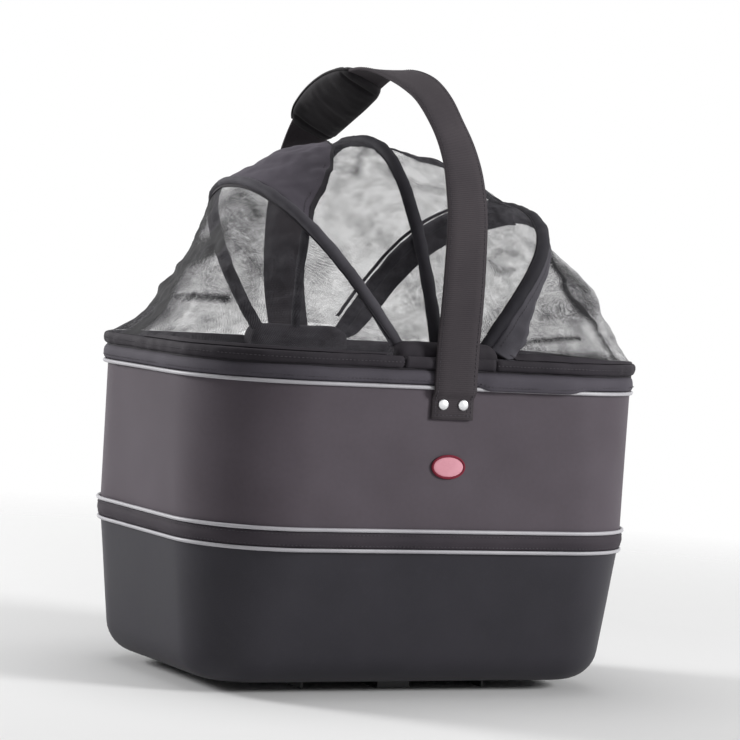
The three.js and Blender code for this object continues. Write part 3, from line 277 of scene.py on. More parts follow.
# maker, name, darker and lighter colour, and what differs from the maker's own values
finishFacts = {
    "tub": (mouldedFinish, "mouldedTub", (48, 47, 52), (60, 58, 64),
            {"rough": 0.5, "shine": 0.15, "grain": 0.7}),
    "wall": (wovenFinish, "wallCloth", (78, 71, 77), (93, 86, 93),
             {"pitch": 0.45, "rough": 0.55, "relief": 0.35, "shine": 0.12}),
    "band": (wovenFinish, "bandTape", (48, 44, 50), (66, 60, 66), {"pitch": 0.6, "relief": 0.5}),
    "binding": (wovenFinish, "bindingTape", (64, 61, 68), (86, 82, 90), {}),
    "hem": (wovenFinish, "hemCloth", (34, 31, 35), (52, 48, 54), {}),
    "sleevePale": (wovenFinish, "bowClothPale", (52, 50, 55), (82, 80, 86), {}),
    "tapeDark": (wovenFinish, "tapeDark", (26, 24, 28), (44, 41, 46), {}),
    "tapeMid": (wovenFinish, "tapeMid", (50, 48, 54), (72, 70, 76), {}),
    "tapePale": (wovenFinish, "tapePale", (66, 64, 70), (88, 86, 92), {}),
    "sleeve": (wovenFinish, "bowCloth", (26, 25, 30), (44, 42, 48), {}),
    "crown": (wovenFinish, "crownCloth", (63, 59, 67), (87, 82, 91), {"pitch": 0.45, "relief": 0.3}),
    "webbing": (ribbedFinish, "strapWebbing", (56, 52, 56), (76, 71, 74),
                {"pitch": 1.6, "rough": 0.8, "relief": 0.5, "shine": 0.12}),
    "padding": (wovenFinish, "gripCloth", (30, 29, 31), (50, 47, 50), {"pitch": 0.8, "relief": 0.6}),
    "cushion": (wovenFinish, "cushionCloth", (64, 64, 70), (88, 88, 94),
                {"pitch": 1.2, "relief": 0.6, "mapped": False}),
    "patch": (wovenFinish, "patchThread", (214, 138, 154), (240, 178, 190), {"relief": 0.7}),
    "patchRim": (wovenFinish, "patchBorder", (96, 24, 40), (140, 44, 62), {"pitch": 0.4, "relief": 0.7}),
    "reflective": (wovenFinish, "reflectivePiping", (156, 154, 160), (196, 195, 199),
                   {"pitch": 0.7, "rough": 0.4, "relief": 0.35, "shine": 0.5}),
    "thread": (wovenFinish, "stitchThread", (52, 50, 54), (96, 92, 98),
               {"pitch": 0.3, "relief": 0.5, "mapped": False}),
    "tooth": (mouldedFinish, "zipTooth", (22, 22, 24), (44, 44, 48), {"rough": 0.35, "shine": 0.5}),
    "board": (mouldedFinish, "boardSheet", (38, 38, 40), (54, 54, 58), {"rough": 0.7}),
    "steel": (metalFinish, "zincSteel", (0.42, 0.43, 0.45, 1), (0.72, 0.73, 0.75, 1), {}),
    "rivet": (metalFinish, "rivetSteel", (0.66, 0.67, 0.69, 1), (0.92, 0.92, 0.93, 1), {"rough": 0.22}),
    "black": (mouldedFinish, "powderCoat", (22, 23, 25), (40, 41, 44), {"rough": 0.42, "shine": 0.5}),
    "plastic": (mouldedFinish, "moulding", (28, 29, 32), (46, 47, 51), {"rough": 0.5, "shine": 0.4}),
    "signal": (mouldedFinish, "buttonPlastic", (168, 26, 32), (198, 46, 52), {"rough": 0.3, "shine": 0.5}),
}
finishes = {
    key: make(name, dark, light, **own) for key, (make, name, dark, light, own) in finishFacts.items()
}
finishes["net"] = netFinish()
print("finishes made:", len(finishes))


# shapes shared by many pieces
outline = [(8, 182, 118, 50), (128, 201, 147, 80), (256, 205, 146, 87)]  # z, half x, half y, corner
baseHeight, rimHeight = outline[0][0], outline[-1][0]
ringSteps = {"long": 44, "corner": 22, "end": 16}


def outlineAt(z):
    low, high = outline[:2] if z <= outline[1][0] else outline[1:]
    share = min(1, max(0, (z - low[0]) / (high[0] - low[0])))
    return [a + (b - a) * share for a, b in zip(low[1:], high[1:])]


def cornerAt(z, offset):  # middle and radius of the outline's corner, moved out by the offset
    halfX, halfY, corner = outlineAt(z)
    radius = max(corner + offset, 4)
    return halfX + offset - radius, halfY + offset - radius, radius


def straightRun(first, second, steps):  # points from the first towards the second
    return [[a + (b - a) * (i / steps) for a, b in zip(first, second)] for i in range(steps)]


def turnRun(x, y, radius, fromDegrees, degrees=90):  # points round a corner, without the last one
    steps = ringSteps["corner"]
    angles = [math.radians(fromDegrees + degrees * i / steps) for i in range(steps)]
    return [[x + radius * math.cos(angle), y + radius * math.sin(angle)] for angle in angles]


def ringAt(z, offset, height=None):
    # counter-clockwise from the middle of the rear side, as millimetres
    x, y, radius = cornerAt(z, offset)
    farX, farY = x + radius, y + radius
    points = straightRun((0, farY), (-x, farY), ringSteps["long"] // 2) + turnRun(-x, y, radius, 90)
    points += straightRun((-farX, y), (-farX, -y), ringSteps["end"]) + turnRun(-x, -y, radius, 180)
    points += straightRun((-x, -farY), (x, -farY), ringSteps["long"]) + turnRun(x, -y, radius, 270)
    points += straightRun((farX, -y), (farX, y), ringSteps["end"]) + turnRun(x, y, radius, 0)
    points += straightRun((x, farY), (0, farY), ringSteps["long"] // 2)
    return np.array([[a, b, z if height is None else height] for a, b in points])


def runLengths(points, closed):
    ahead = np.roll(points, -1, 0) if closed else points[1:]
    steps = np.linalg.norm(ahead - points[: len(ahead)], axis=1)
    return np.concatenate([[0], np.cumsum(steps)])


def skin(name, grid, finish, form="tube"):
    # a mesh from rows of points in millimetres, with a UV map "lay" in metres; a tube is closed across its
    # rows and capped at both ends, a belt is closed both ways, and a sheet is open
    grid = np.asarray(grid, float)
    rows, columns = grid.shape[:2]
    closedRows, closedColumns = form == "belt", form != "sheet"
    someRows = range(0, rows, max(1, rows // 6))
    someColumns = range(0, columns, max(1, columns // 6))
    u = np.mean([runLengths(grid[i], closedColumns) for i in someRows], 0) * mm
    v = np.mean([runLengths(grid[:, j], closedRows) for j in someColumns], 0) * mm
    faces, corners = [], []
    for i in range(len(v) - 1):
        for j in range(len(u) - 1):
            here, ahead, beside = i * columns, (i + 1) % rows * columns, (j + 1) % columns
            faces.append((here + j, here + beside, ahead + beside, ahead + j))
            corners += [u[j], v[i], u[j + 1], v[i], u[j + 1], v[i + 1], u[j], v[i + 1]]
    if form == "tube":
        faces.append(tuple(range(columns))[::-1])
        faces.append(tuple((rows - 1) * columns + j for j in range(columns)))
        for row in (grid[0][::-1], grid[-1]):
            for point in row:
                corners += [point[0] * mm, point[1] * mm]
    mesh = bpy.data.meshes.new(name)
    mesh.from_pydata((grid.reshape(-1, 3) * mm).tolist(), [], faces)
    mesh.uv_layers.new(name="lay").data.foreach_set("uv", corners)
    mesh.polygons.foreach_set("use_smooth", [True] * len(mesh.polygons))
    if form != "sheet":
        shape = bmesh.new()
        shape.from_mesh(mesh)
        bmesh.ops.recalc_face_normals(shape, faces=shape.faces)
        shape.to_mesh(mesh)
        shape.free()
    mesh.materials.append(finishes[finish])
    mesh.update()
    piece = bpy.data.objects.new(name, mesh)
    scene.collection.objects.link(piece)
    return piece


noiseFacts = {"apart": 17.3, "gain": 1.6}  # how far the seeds lie apart, and what makes it about -1 to 1
# small waves in pieces of cloth: depth, size and seed of each noise in them, in millimetres
puckers = {
    "sleeve": ((0.45, 13, 3), (0.25, 5, 4)),
    "hem": ((0.7, 15, 7), (0.35, 6, 8)),
    "pocket": ((0.3, 14, 41),),
    "grip": ((0.7, 14, 21), (0.4, 6, 22)),
    "cushion": ((0.5, 11, 31),),
}


def wander(point, size, seed):  # smooth noise, about -1 to 1
    x, y, z = (value / size for value in point)
    return noise.noise(Vector((x, y, z + seed * noiseFacts["apart"]))) * noiseFacts["gain"]


def pucker(kind, point):
    return sum(depth * wander(point, size, seed) for depth, size, seed in puckers[kind])


def beltGrid(section, waver, size, seed, stretch=1.0):
    # rings of a section of (offset, height), each point pushed in or out a little
    rings = []
    for offset, z in section:
        ring = ringAt(z, offset)
        away = ringAt(z, offset + 1) - ring
        for i, point in enumerate(ring):
            ring[i] = point + away[i] * waver * wander((*point[:2], point[2] * stretch), size, seed)
        rings.append(ring)
    return rings


def circle(sides):  # angles, once round
    return [2 * math.pi * k / sides for k in range(sides)]


def ovalSection(offset, z, halfWidth, halfHeight, sides, squareness=1.0):
    points = []
    for angle in circle(sides):
        c, s = math.cos(angle), math.sin(angle)
        points.append((
            offset + halfWidth * math.copysign(abs(c) ** squareness, c),
            z + halfHeight * math.copysign(abs(s) ** squareness, s),
        ))
    return points


def settle(piece, body, slot, *nodes):  # who it moves with, its slot (not used), what it stands for
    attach(piece, body)
    if nodes:
        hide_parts(*nodes)


# tub, wall and their trims
tub = {
    "wall": 4.0, "fillet": 24.0, "bottom": 8.0, "top": 127.8, "waver": 0.5, "longer": 0.032, "edge": 0.8,
    "floorInset": 60.0, "bendSteps": 9, "sideSteps": 15,
}


def tubSide(offset, radius, bottom):  # up one face of the tub: the bend over its floor, then straight
    made = []
    for i in range(tub["bendSteps"] + 1):
        angle = i / tub["bendSteps"] * math.pi / 2
        made.append((offset - radius * (1 - math.sin(angle)), bottom + radius * (1 - math.cos(angle))))
    low, high = bottom + radius, tub["top"] - tub["edge"]
    steps = tub["sideSteps"]
    return made + [(offset, low + (high - low) * i / steps) for i in range(1, steps + 1)]


def makeTub():
    wall, bottom, edge, inset = tub["wall"], tub["bottom"], tub["edge"], tub["floorInset"]
    section = [(-inset, bottom)] + tubSide(0, tub["fillet"], bottom)
    section += [(-edge, tub["top"]), (edge - wall, tub["top"])]
    section += tubSide(-wall, tub["fillet"] - wall, bottom + wall)[::-1] + [(-inset - wall, bottom + wall)]
    rings = beltGrid(section, tub["waver"], size=90, seed=1)
    for ring in rings:
        ring[:, 0] *= 1 + tub["longer"] * (1 - ring[0, 2] / tub["top"])
    settle(skin("tubShell", rings, "tub"), "root", "tub_foam", "lower_tub")


wallPanel = {"low": 128.2, "high": 256.0, "thickness": 4.0, "edge": 0.6, "waver": 0.9, "rows": 26,
             "innerRows": 8}


def makeWall():
    low, high, thickness, edge = (wallPanel[key] for key in ("low", "high", "thickness", "edge"))
    count, innerCount = wallPanel["rows"], wallPanel["innerRows"]
    tall = high - low - 2 * edge
    section = [(-edge, low)] + [(0, low + edge + tall * i / count) for i in range(count + 1)]
    section += [(-edge, high), (edge - thickness, high)]
    section += [(-thickness, high - edge - tall * i / innerCount) for i in range(innerCount + 1)]
    section += [(edge - thickness, low)]
    rings = beltGrid(section, wallPanel["waver"], size=80, seed=2, stretch=0.35)
    settle(skin("wallPanel", rings, "wall", "belt"), "root", "wall_cloth", "upper_wall")


trims = {
    "waistTape": {"z": 128.0, "height": 12.6, "offset": 0.35, "edge": 0.9, "side": 1.2, "crown": 1.9},
    "piping": {"offset": 1.9, "radius": 1.6},
}
pipings = (
    ("pipingLow", 119.8, "waist_piping_lower"), ("pipingHigh", 136.2, "waist_piping_upper"),
    ("pipingRim", 251.0, "rim_piping"),
)


def makeTrims():
    z, height, offset, edge, side, crown = trims["waistTape"].values()
    low, high = z - height / 2, z + height / 2
    section = [(offset, low), (offset + edge, low)]
    for share in np.linspace(0, 1, 9):
        out = offset + side + (crown - side) * math.sin(math.pi * share)
        section.append((out, low + side / 2 + (height - side) * share))
    section += [(offset + edge, high), (offset, high)]
    rings = beltGrid(section, waver=0.35, size=24, seed=3)
    settle(skin("waistTape", rings, "band", "belt"), "root", "band_tape", "waist_band")
    offset, radius = trims["piping"].values()
    for name, z, node in pipings:
        rings = beltGrid(ovalSection(offset, z, radius, radius, 12), waver=0.25, size=30, seed=z)
        settle(skin(name, rings, "reflective", "belt"), "root", "reflective", node)


binding = {"low": 253.0, "high": 265.3, "inner": -7.3, "outer": 3.3, "waver": 0.7, "rearMost": 149.3}
# the part of the binding beside the strap that stands out as a fuller roll, along x at the front
roll = {"from": (23, 30), "to": (104, 128), "out": 3.4, "down": 3.2, "frontOf": -120}


def swellRing(ring, outShare, downShare):
    for point in ring:
        if point[1] < roll["frontOf"]:
            share = np.interp(point[0], roll["from"] + roll["to"], [0, 1, 1, 0])
            share = math.sin(share * math.pi / 2) ** 2
            point[1] -= share * outShare * roll["out"]
            point[2] -= share * downShare * roll["down"]
    return ring


def makeBinding():
    # tape folded over the rim wire: a closed section round the wire, a little puckered
    low, high = binding["low"], binding["high"]
    inner, outer = binding["inner"], binding["outer"]
    outside = [
        (0.4, low), (1.8, low + 0.2), (outer - 0.5, low + 1.4), (outer, low + 3.6), (outer, low + 6.4),
        (outer - 0.5, low + 8.8), (outer - 1.7, high - 1.6), (outer - 3.6, high - 0.4),
        (-2, high), (inner + 3.4, high - 0.5), (inner + 1.4, high - 2.0), (inner + 0.3, high - 4.4),
        (inner, low + 5.0), (inner + 0.6, low + 1.8), (inner + 1.8, low + 0.4), (-4.4, low),
    ]
    inside = [(-4.4, low + 1.4), (-5.4, low + 4), (-4.6, low + 8), (-2, low + 9.6), (0, low + 8),
              (0.4, low + 3.6)]
    full = [(1, 1), (1, 1), (1, 1), (1, 0.8), (1, 0.3), (0.8, 0), (0.3, 0)]  # share of out and down
    rings = beltGrid(outside + inside, binding["waver"], size=26, seed=5, stretch=2.0)
    for ring, (outShare, downShare) in zip(rings, full):
        swellRing(ring, outShare, downShare)
    for ring in rings:
        ring[:, 1] = np.minimum(ring[:, 1], binding["rearMost"])
    settle(skin("rimBinding", rings, "binding", "belt"), "root", "hem_tape", "rim_binding")


joining = {"low": 262.0, "high": 268.6, "inner": -1.2, "outer": 0.9}


def makeJoiningTape():
    # flat zip tape between the binding and the hem, all the way round
    low, high, inner, outer = joining.values()
    section = [(outer, low), (outer, low + 2.2), (outer, high - 2.2), (outer - 0.3, high),
               (inner + 0.3, high), (inner, high - 2.2), (inner, low + 2.2), (inner, low)]
    rings = beltGrid(section, waver=0.2, size=20, seed=9)
    settle(skin("joiningTape", rings, "tapeDark", "belt"), "root", "hem_tape")


makeTub()
makeWall()
makeTrims()
makeBinding()
makeJoiningTape()
print("tub, wall and trims made")

# bows of the hood
pivotHeight = 276.0
halfSpan = 129.6
bowSteps = 240
bows = {
    "left": {"foot": -39, "rise": 161, "lean": -36, "side": 0.94, "crown": 0.92, "body": "hood_left"},
    "centre": {"foot": -7, "rise": 171, "lean": -5.5, "side": 0.73, "crown": 1.6, "body": "root"},
    "right": {"foot": 31, "rise": 150, "lean": 35, "side": 1.06, "crown": 0.42, "body": "hood_right"},
}
ends = ((-1, "front"), (1, "rear"))


class Line:  # a run of points, read by a share of its length
    def __init__(self, points):
        self.points = np.asarray(points, float)
        self.lengths = runLengths(self.points[:, :3], False)

    def at(self, share):
        wanted = np.clip(share, 0, 1) * self.lengths[-1]
        columns = range(self.points.shape[1])
        return np.stack([np.interp(wanted, self.lengths, self.points[:, k]) for k in columns], -1)

    def direction(self, share, step=0.01):
        way = (self.at(min(1, share + step)) - self.at(max(0, share - step)))[:3]
        return way / np.linalg.norm(way)


def bowLine(bow):
    lean = math.radians(bow["lean"])
    points = []
    for i in range(bowSteps + 1):
        angle = i / bowSteps * math.pi
        height = bow["rise"] * max(0, math.sin(angle)) ** bow["crown"]
        c = math.cos(angle)
        points.append((
            bow["foot"] + height * math.sin(lean),
            -halfSpan * math.copysign(abs(c) ** bow["side"], c),
            pivotHeight + height * math.cos(lean),
        ))
    return Line(points)


bowLines = {name: bowLine(bow) for name, bow in bows.items()}


def bowAcross(name):  # the way a tape on this bow lies, square to the bow's plane
    lean = math.radians(bows[name]["lean"])
    return np.array([math.cos(lean), 0, -math.sin(lean)])


def along(*stops):  # a size that changes along a line, from (share, value) pairs
    shares, values = zip(*stops)
    return lambda share: float(np.interp(share, shares, values))


# half width and half height of each sleeve, from its front foot to its rear foot
sleeves = {
    "left": {
        "finish": "sleevePale",
        "width": along((0, 5.0), (0.3, 4.8), (0.42, 4.0), (0.6, 3.8), (0.7, 4.8), (1, 5.2)),
        "height": along((0, 4.6), (0.42, 3.8), (0.6, 3.6), (1, 4.8)),
    },
    "centre": {
        "finish": "sleeve",
        "width": along((0, 5.4), (0.3, 5.2), (0.5, 5.0), (0.64, 3.6), (1, 4.0)),
        "height": along((0, 4.8), (0.5, 4.8), (0.64, 3.6), (1, 4.0)),
    },
    "right": {
        "finish": "sleeve",
        "width": along((0, 5.2), (0.5, 5.4), (1, 5.2)),
        "height": along((0, 4.6), (0.5, 5.0), (1, 4.8)),
    },
}


sleeveSteps = {"along": 140, "around": 18, "pale": 79}  # pale: how far the left one has the paler cloth


def makeBowSleeves():
    # cloth tube round each bow, a little puckered, with the bow's wire inside it
    steps, around = sleeveSteps["along"], sleeveSteps["around"]
    for name, sleeve in sleeves.items():
        line, across = bowLines[name], bowAcross(name)
        rows = []
        for i in range(steps + 1):
            share = 0.004 + 0.992 * i / steps
            middle = line.at(share)
            outward = np.cross(across, line.direction(share))
            outward /= np.linalg.norm(outward)
            row = []
            for a, b in ovalSection(0, 0, 1, 1, around, 0.9):
                point = middle + across * a * sleeve["width"](share) + outward * b * sleeve["height"](share)
                row.append(point + (across * a + outward * b) * pucker("sleeve", point))
            rows.append(row)
        piece = skin("bowSleeve_" + name, rows, sleeve["finish"])
        if name == "left":
            piece.data.materials.append(finishes["sleeve"])
            rear = [int(i // around >= sleeveSteps["pale"]) for i in range(len(piece.data.polygons))]
            piece.data.polygons.foreach_set("material_index", rear)
        settle(piece, bows[name]["body"], "bow_sleeve", "hoop_" + name)


bowEnd = {"inner": 124.0, "outer": 135.0, "radius": 8.0, "head": 4.2, "plate": 141.6}


def turned(name, finish, centre, away, profile):  # a profile of (radius, height) spun round a line
    away = np.asarray(away, float)
    across = np.array([1.0, 0, 0])
    upward = np.cross(away, across)
    rows = [
        [centre + away * height + (across * math.cos(a) + upward * math.sin(a)) * radius for a in circle(28)]
        for radius, height in profile
    ]
    return skin(name, rows, finish)


def makeBowEnds():
    # flattened eye at each foot of a bow, with the head of the rivet that it turns on
    depth = bowEnd["outer"] - bowEnd["inner"]
    wide, head = bowEnd["radius"], bowEnd["head"]
    profile = [(wide - 0.8, 0), (wide, 0.8), (wide, depth - 4.6), (wide - 0.7, depth - 4),
               (head, depth - 3.9), (head, depth - 3.2), (head * 0.9, depth - 2.2), (head * 0.6, depth - 1.5),
               (0.3, depth - 1.2)]
    headProfile = [(head, 0), (head, 0.5), (head * 0.92, 0.95), (head * 0.6, 1.4), (0.3, 1.6)]
    for name, bow in bows.items():
        for side, label in ends:
            for form, y, way, shape, body in (
                ("bowEye_", bowEnd["outer"], -side, profile, bow["body"]),
                ("bowRivet_", bowEnd["plate"], side, headProfile, "root"),
            ):
                centre = np.array([bow["foot"], side * y, pivotHeight])
                piece = turned(form + name + "_" + label, "black", centre, (0, way, 0), shape)
                settle(piece, body, "black_steel")


makeBowSleeves()
makeBowEnds()
print("bow sleeves made")

# hem of the hood
hem = {
    "low": 265.6, "high": 275.2, "inner": -2.5, "outer": 3.5, "leftEnd": -45.3, "rightEnd": 37.3,
    "steps": 170, "straightSteps": 28, "gap": 0.7,
    "closing": 220, "leastWide": 0.35, "leastTall": 0.6,  # how soon its ends close, and how far
}
hemMiddle = (hem["inner"] + hem["outer"]) / 2
hemHeight = (hem["low"] + hem["high"]) / 2


def ringPart(z, offset, fromX, side):  # the run of a ring round one end, from the front to the rear
    x, y, radius = cornerAt(z, offset)
    farX, farY = side * (x + radius), y + radius
    quarter = 90 * side
    points = straightRun((fromX, -farY), (side * x, -farY), 30) + turnRun(side * x, -y, radius, 270, quarter)
    points += straightRun((farX, -y), (farX, y), 16) + turnRun(side * x, y, radius, 90 - quarter, quarter)
    points += straightRun((side * x, farY), (fromX, farY), 30) + [[fromX, farY]]
    return [(a, b, z) for a, b in points]


def hemRow(centre, out, close=1.0):  # the hem's section at one place, smaller where it closes at its end
    row = []
    half, tall = (hem["outer"] - hem["inner"]) / 2, (hem["high"] - hem["low"]) / 2
    wide, high = (least + (1 - least) * close for least in (hem["leastWide"], hem["leastTall"]))
    for a, b in ovalSection(0, 0, half, tall, 14, 0.75):
        point = centre + out * a * wide + np.array([0, 0, b * high])
        row.append(point + out * pucker("hem", point))
    return row


def makeHem():
    for label, side in (("left", -1), ("right", 1)):
        line = Line(ringPart(hemHeight, hemMiddle, hem[label + "End"], side))
        rows = []
        for i in range(hem["steps"] + 1):
            share = i / hem["steps"]
            way = line.direction(share, 0.004)
            close = min(1, min(share, 1 - share) * hem["closing"]) ** 0.5
            rows.append(hemRow(line.at(share), np.array([way[1], -way[0], 0]) * side, close))
        settle(skin("hem" + label.title(), rows, "hem"), "hood_" + label, "hem_tape", "hem_" + label)
    y = outlineAt(hemHeight)[1] + hemMiddle
    first, last = hem["leftEnd"] + hem["gap"], hem["rightEnd"] - hem["gap"]
    for side, label in ends:
        out = np.array([0, side, 0])
        rows = [hemRow(np.array([x, side * y, hemHeight]), out)
                for x in np.linspace(first, last, hem["straightSteps"] + 1)]
        settle(skin("hem" + label.title(), rows, "hem"), "root", "hem_tape", "hem_" + label)


pocket = {"y": (122.6, 144.4), "low": 262.0, "round": 11.6, "rise": 10.6, "waver": 0.6, "straight": 0.6}


def makePockets():
    # dark cloth that covers each hub plate and the feet of the bows, round at both ends as the plate is
    innerY, outerY = pocket["y"]
    middleY, halfY = (innerY + outerY) / 2, (outerY - innerY) / 2
    firstFoot, lastFoot = bows["left"]["foot"], bows["right"]["foot"]
    middleX = (firstFoot + lastFoot) / 2
    straight = pocket["straight"]
    for side, label in ends:
        rows = []
        for turn in np.linspace(-1, 1, 81):
            bend = max(0, abs(turn) - straight) / (1 - straight) * math.pi / 2
            foot = firstFoot if turn < 0 else lastFoot
            x = middleX + (foot - middleX) * min(1, abs(turn) / straight)
            x += math.copysign(pocket["round"] * math.sin(bend), turn)
            shrink = max(0.05, math.cos(bend))
            top = pivotHeight + pocket["rise"] * shrink
            row = []
            for a, b in ovalSection(0, 0, 1, 1, 26, 0.6):
                crest = pucker("pocket", (x, 0, 0)) * max(0, b)
                z = (top + pocket["low"]) / 2 + b * (top - pocket["low"]) / 2 + crest
                point = np.array([x, side * (middleY + a * halfY * (0.35 + 0.65 * shrink ** 0.5)), z])
                point[1] += side * pocket["waver"] * a * wander(point, 9, 42)
                row.append(point)
            rows.append(row)
        settle(skin("hubPocket_" + label, rows, "hem"), "root", "hem_tape")


makeHem()
makePockets()
print("hem made")

# net panels: bumps are (along, across, radius along, radius across, rise), and folds are
# (width, darkness, lift, points on the net); the darkness makes the net closer and is painted shade in it
netSteps = (200, 64)
nets = {
    "left_end": {
        "sag": 7, "trim": 0.02, "insets": (3.6, 0.2), "seed": 11, "dark": 0.14,
        "bumps": [(0.63, 0.4, 0.12, 0.3, -6), (0.71, 0.86, 0.17, 0.2, -15)],
        "folds": [
            (15, 1.7, 0, [(0.475, 0.35), (0.52, 0.4), (0.58, 0.42), (0.65, 0.36)]),
            (15, 1.7, 0, [(0.63, 0.56), (0.58, 0.68), (0.555, 0.8), (0.56, 0.92)]),
            (19, 1.7, 0, [(0.64, 0.56), (0.68, 0.7), (0.69, 0.85), (0.7, 0.97)]),
            (26, 1.0, 0, [(0.62, 0.1), (0.69, 0.3), (0.74, 0.52), (0.77, 0.72), (0.78, 0.95)]),
            (14, 0.15, 0, [(0.71, 0.4), (0.77, 0.33), (0.84, 0.2), (0.9, 0.08)]),
            (2.6, 0.7, 4, [(0.815, 0.56), (0.835, 0.5), (0.875, 0.36), (0.905, 0.22), (0.915, 0.14)]),
            (3.4, 0.9, 0, [(0.47, 0.722), (0.42, 0.703), (0.38, 0.688), (0.335, 0.668)]),
            (22, 0.34, 0, [(0.3, 0.25), (0.38, 0.15), (0.47, 0.1)]),
            (5, 0.4, 1, [(0.38, 0.12), (0.45, 0.05), (0.52, 0.12)]),
            (3, 0.3, 2, [(0.3, 0.42), (0.36, 0.34), (0.44, 0.3)]),
            (3, 0.4, 0, [(0.1, 0.98), (0.5, 0.98), (0.9, 0.98)]),
        ],
    },
    "right_end": {
        "sag": 7, "trim": 0.02, "insets": (3.6, 0.2), "seed": 12, "dark": 0.19,
        "bumps": [(0.3, 0.45, 0.2, 0.24, 13), (0.3, 0.12, 0.15, 0.1, -3), (0.28, 0.78, 0.18, 0.14, 4)],
        "folds": [
            (2.8, 0.9, 2, [(0.245, 0.07), (0.23, 0.19), (0.185, 0.34), (0.2, 0.5), (0.205, 0.67),
                (0.22, 0.98)]),
            (5, 0.8, 0, [(0.25, 0.07), (0.235, 0.2), (0.195, 0.33), (0.187, 0.4), (0.192, 0.48)]),
            (11, 0.4, 0, [(0.43, 0.3), (0.41, 0.45), (0.38, 0.62)]),
            (12, 0.62, 0, [(0.28, 0.05), (0.27, 0.2), (0.25, 0.36), (0.23, 0.5)]),
            (2.4, 0.8, 2, [(0.04, 0.45), (0.1, 0.6), (0.16, 0.7)]),
            (6, 0.8, 0, [(0.05, 0.9), (0.1, 0.93), (0.2, 0.97)]),
            (12, 0.15, 2, [(0.06, 0.3), (0.12, 0.3), (0.17, 0.4)]),
            (3, 0.3, 2, [(0.5, 0.3), (0.56, 0.25), (0.62, 0.3)]),
            (3, 0.4, 0, [(0.1, 0.98), (0.5, 0.98), (0.9, 0.98)]),
        ],
    },
    "left_inner": {
        "sag": 5, "trim": 0.03, "insets": (3.6, 3.8), "seed": 13, "dark": 0.06,
        "bumps": [(0.5, 0.45, 0.14, 0.5, 15)],
        "folds": [
            (20, 0.3, 0, [(0.68, 0.04), (0.78, 0.08), (0.9, 0.15)]),
            (3.5, 0.5, 2, [(0.35, 0.68), (0.39, 0.8), (0.42, 0.92)]),
            (9, 0.2, 0, [(0.38, 0.6), (0.42, 0.75), (0.45, 0.9)]),
            (5, 0.12, 2, [(0.1, 0.5), (0.2, 0.6), (0.3, 0.62)]),
        ],
    },
    "right_inner": {
        "sag": 5, "trim": 0.03, "insets": (3.6, 3.8), "seed": 14, "dark": 0.09,
        "bumps": [(0.5, 0.5, 0.14, 0.5, 14)],
        "folds": [
            (6, 0.3, 2, [(0.42, 0.2), (0.45, 0.5), (0.42, 0.8)]),
            (6, 0.25, 2, [(0.56, 0.15), (0.62, 0.4), (0.6, 0.7)]),
            (2.4, 0.5, 2, [(0.17, 0.4), (0.15, 0.28), (0.16, 0.15)]),
            (4, 0.4, 2, [(0.3, 0.25), (0.33, 0.15), (0.36, 0.08)]),
        ],
    },
}


def hoodInward(points):  # the way from each point to the middle of the rim
    inward = np.array([0, 0, rimHeight]) - points
    return inward / np.linalg.norm(inward, axis=-1, keepdims=True)


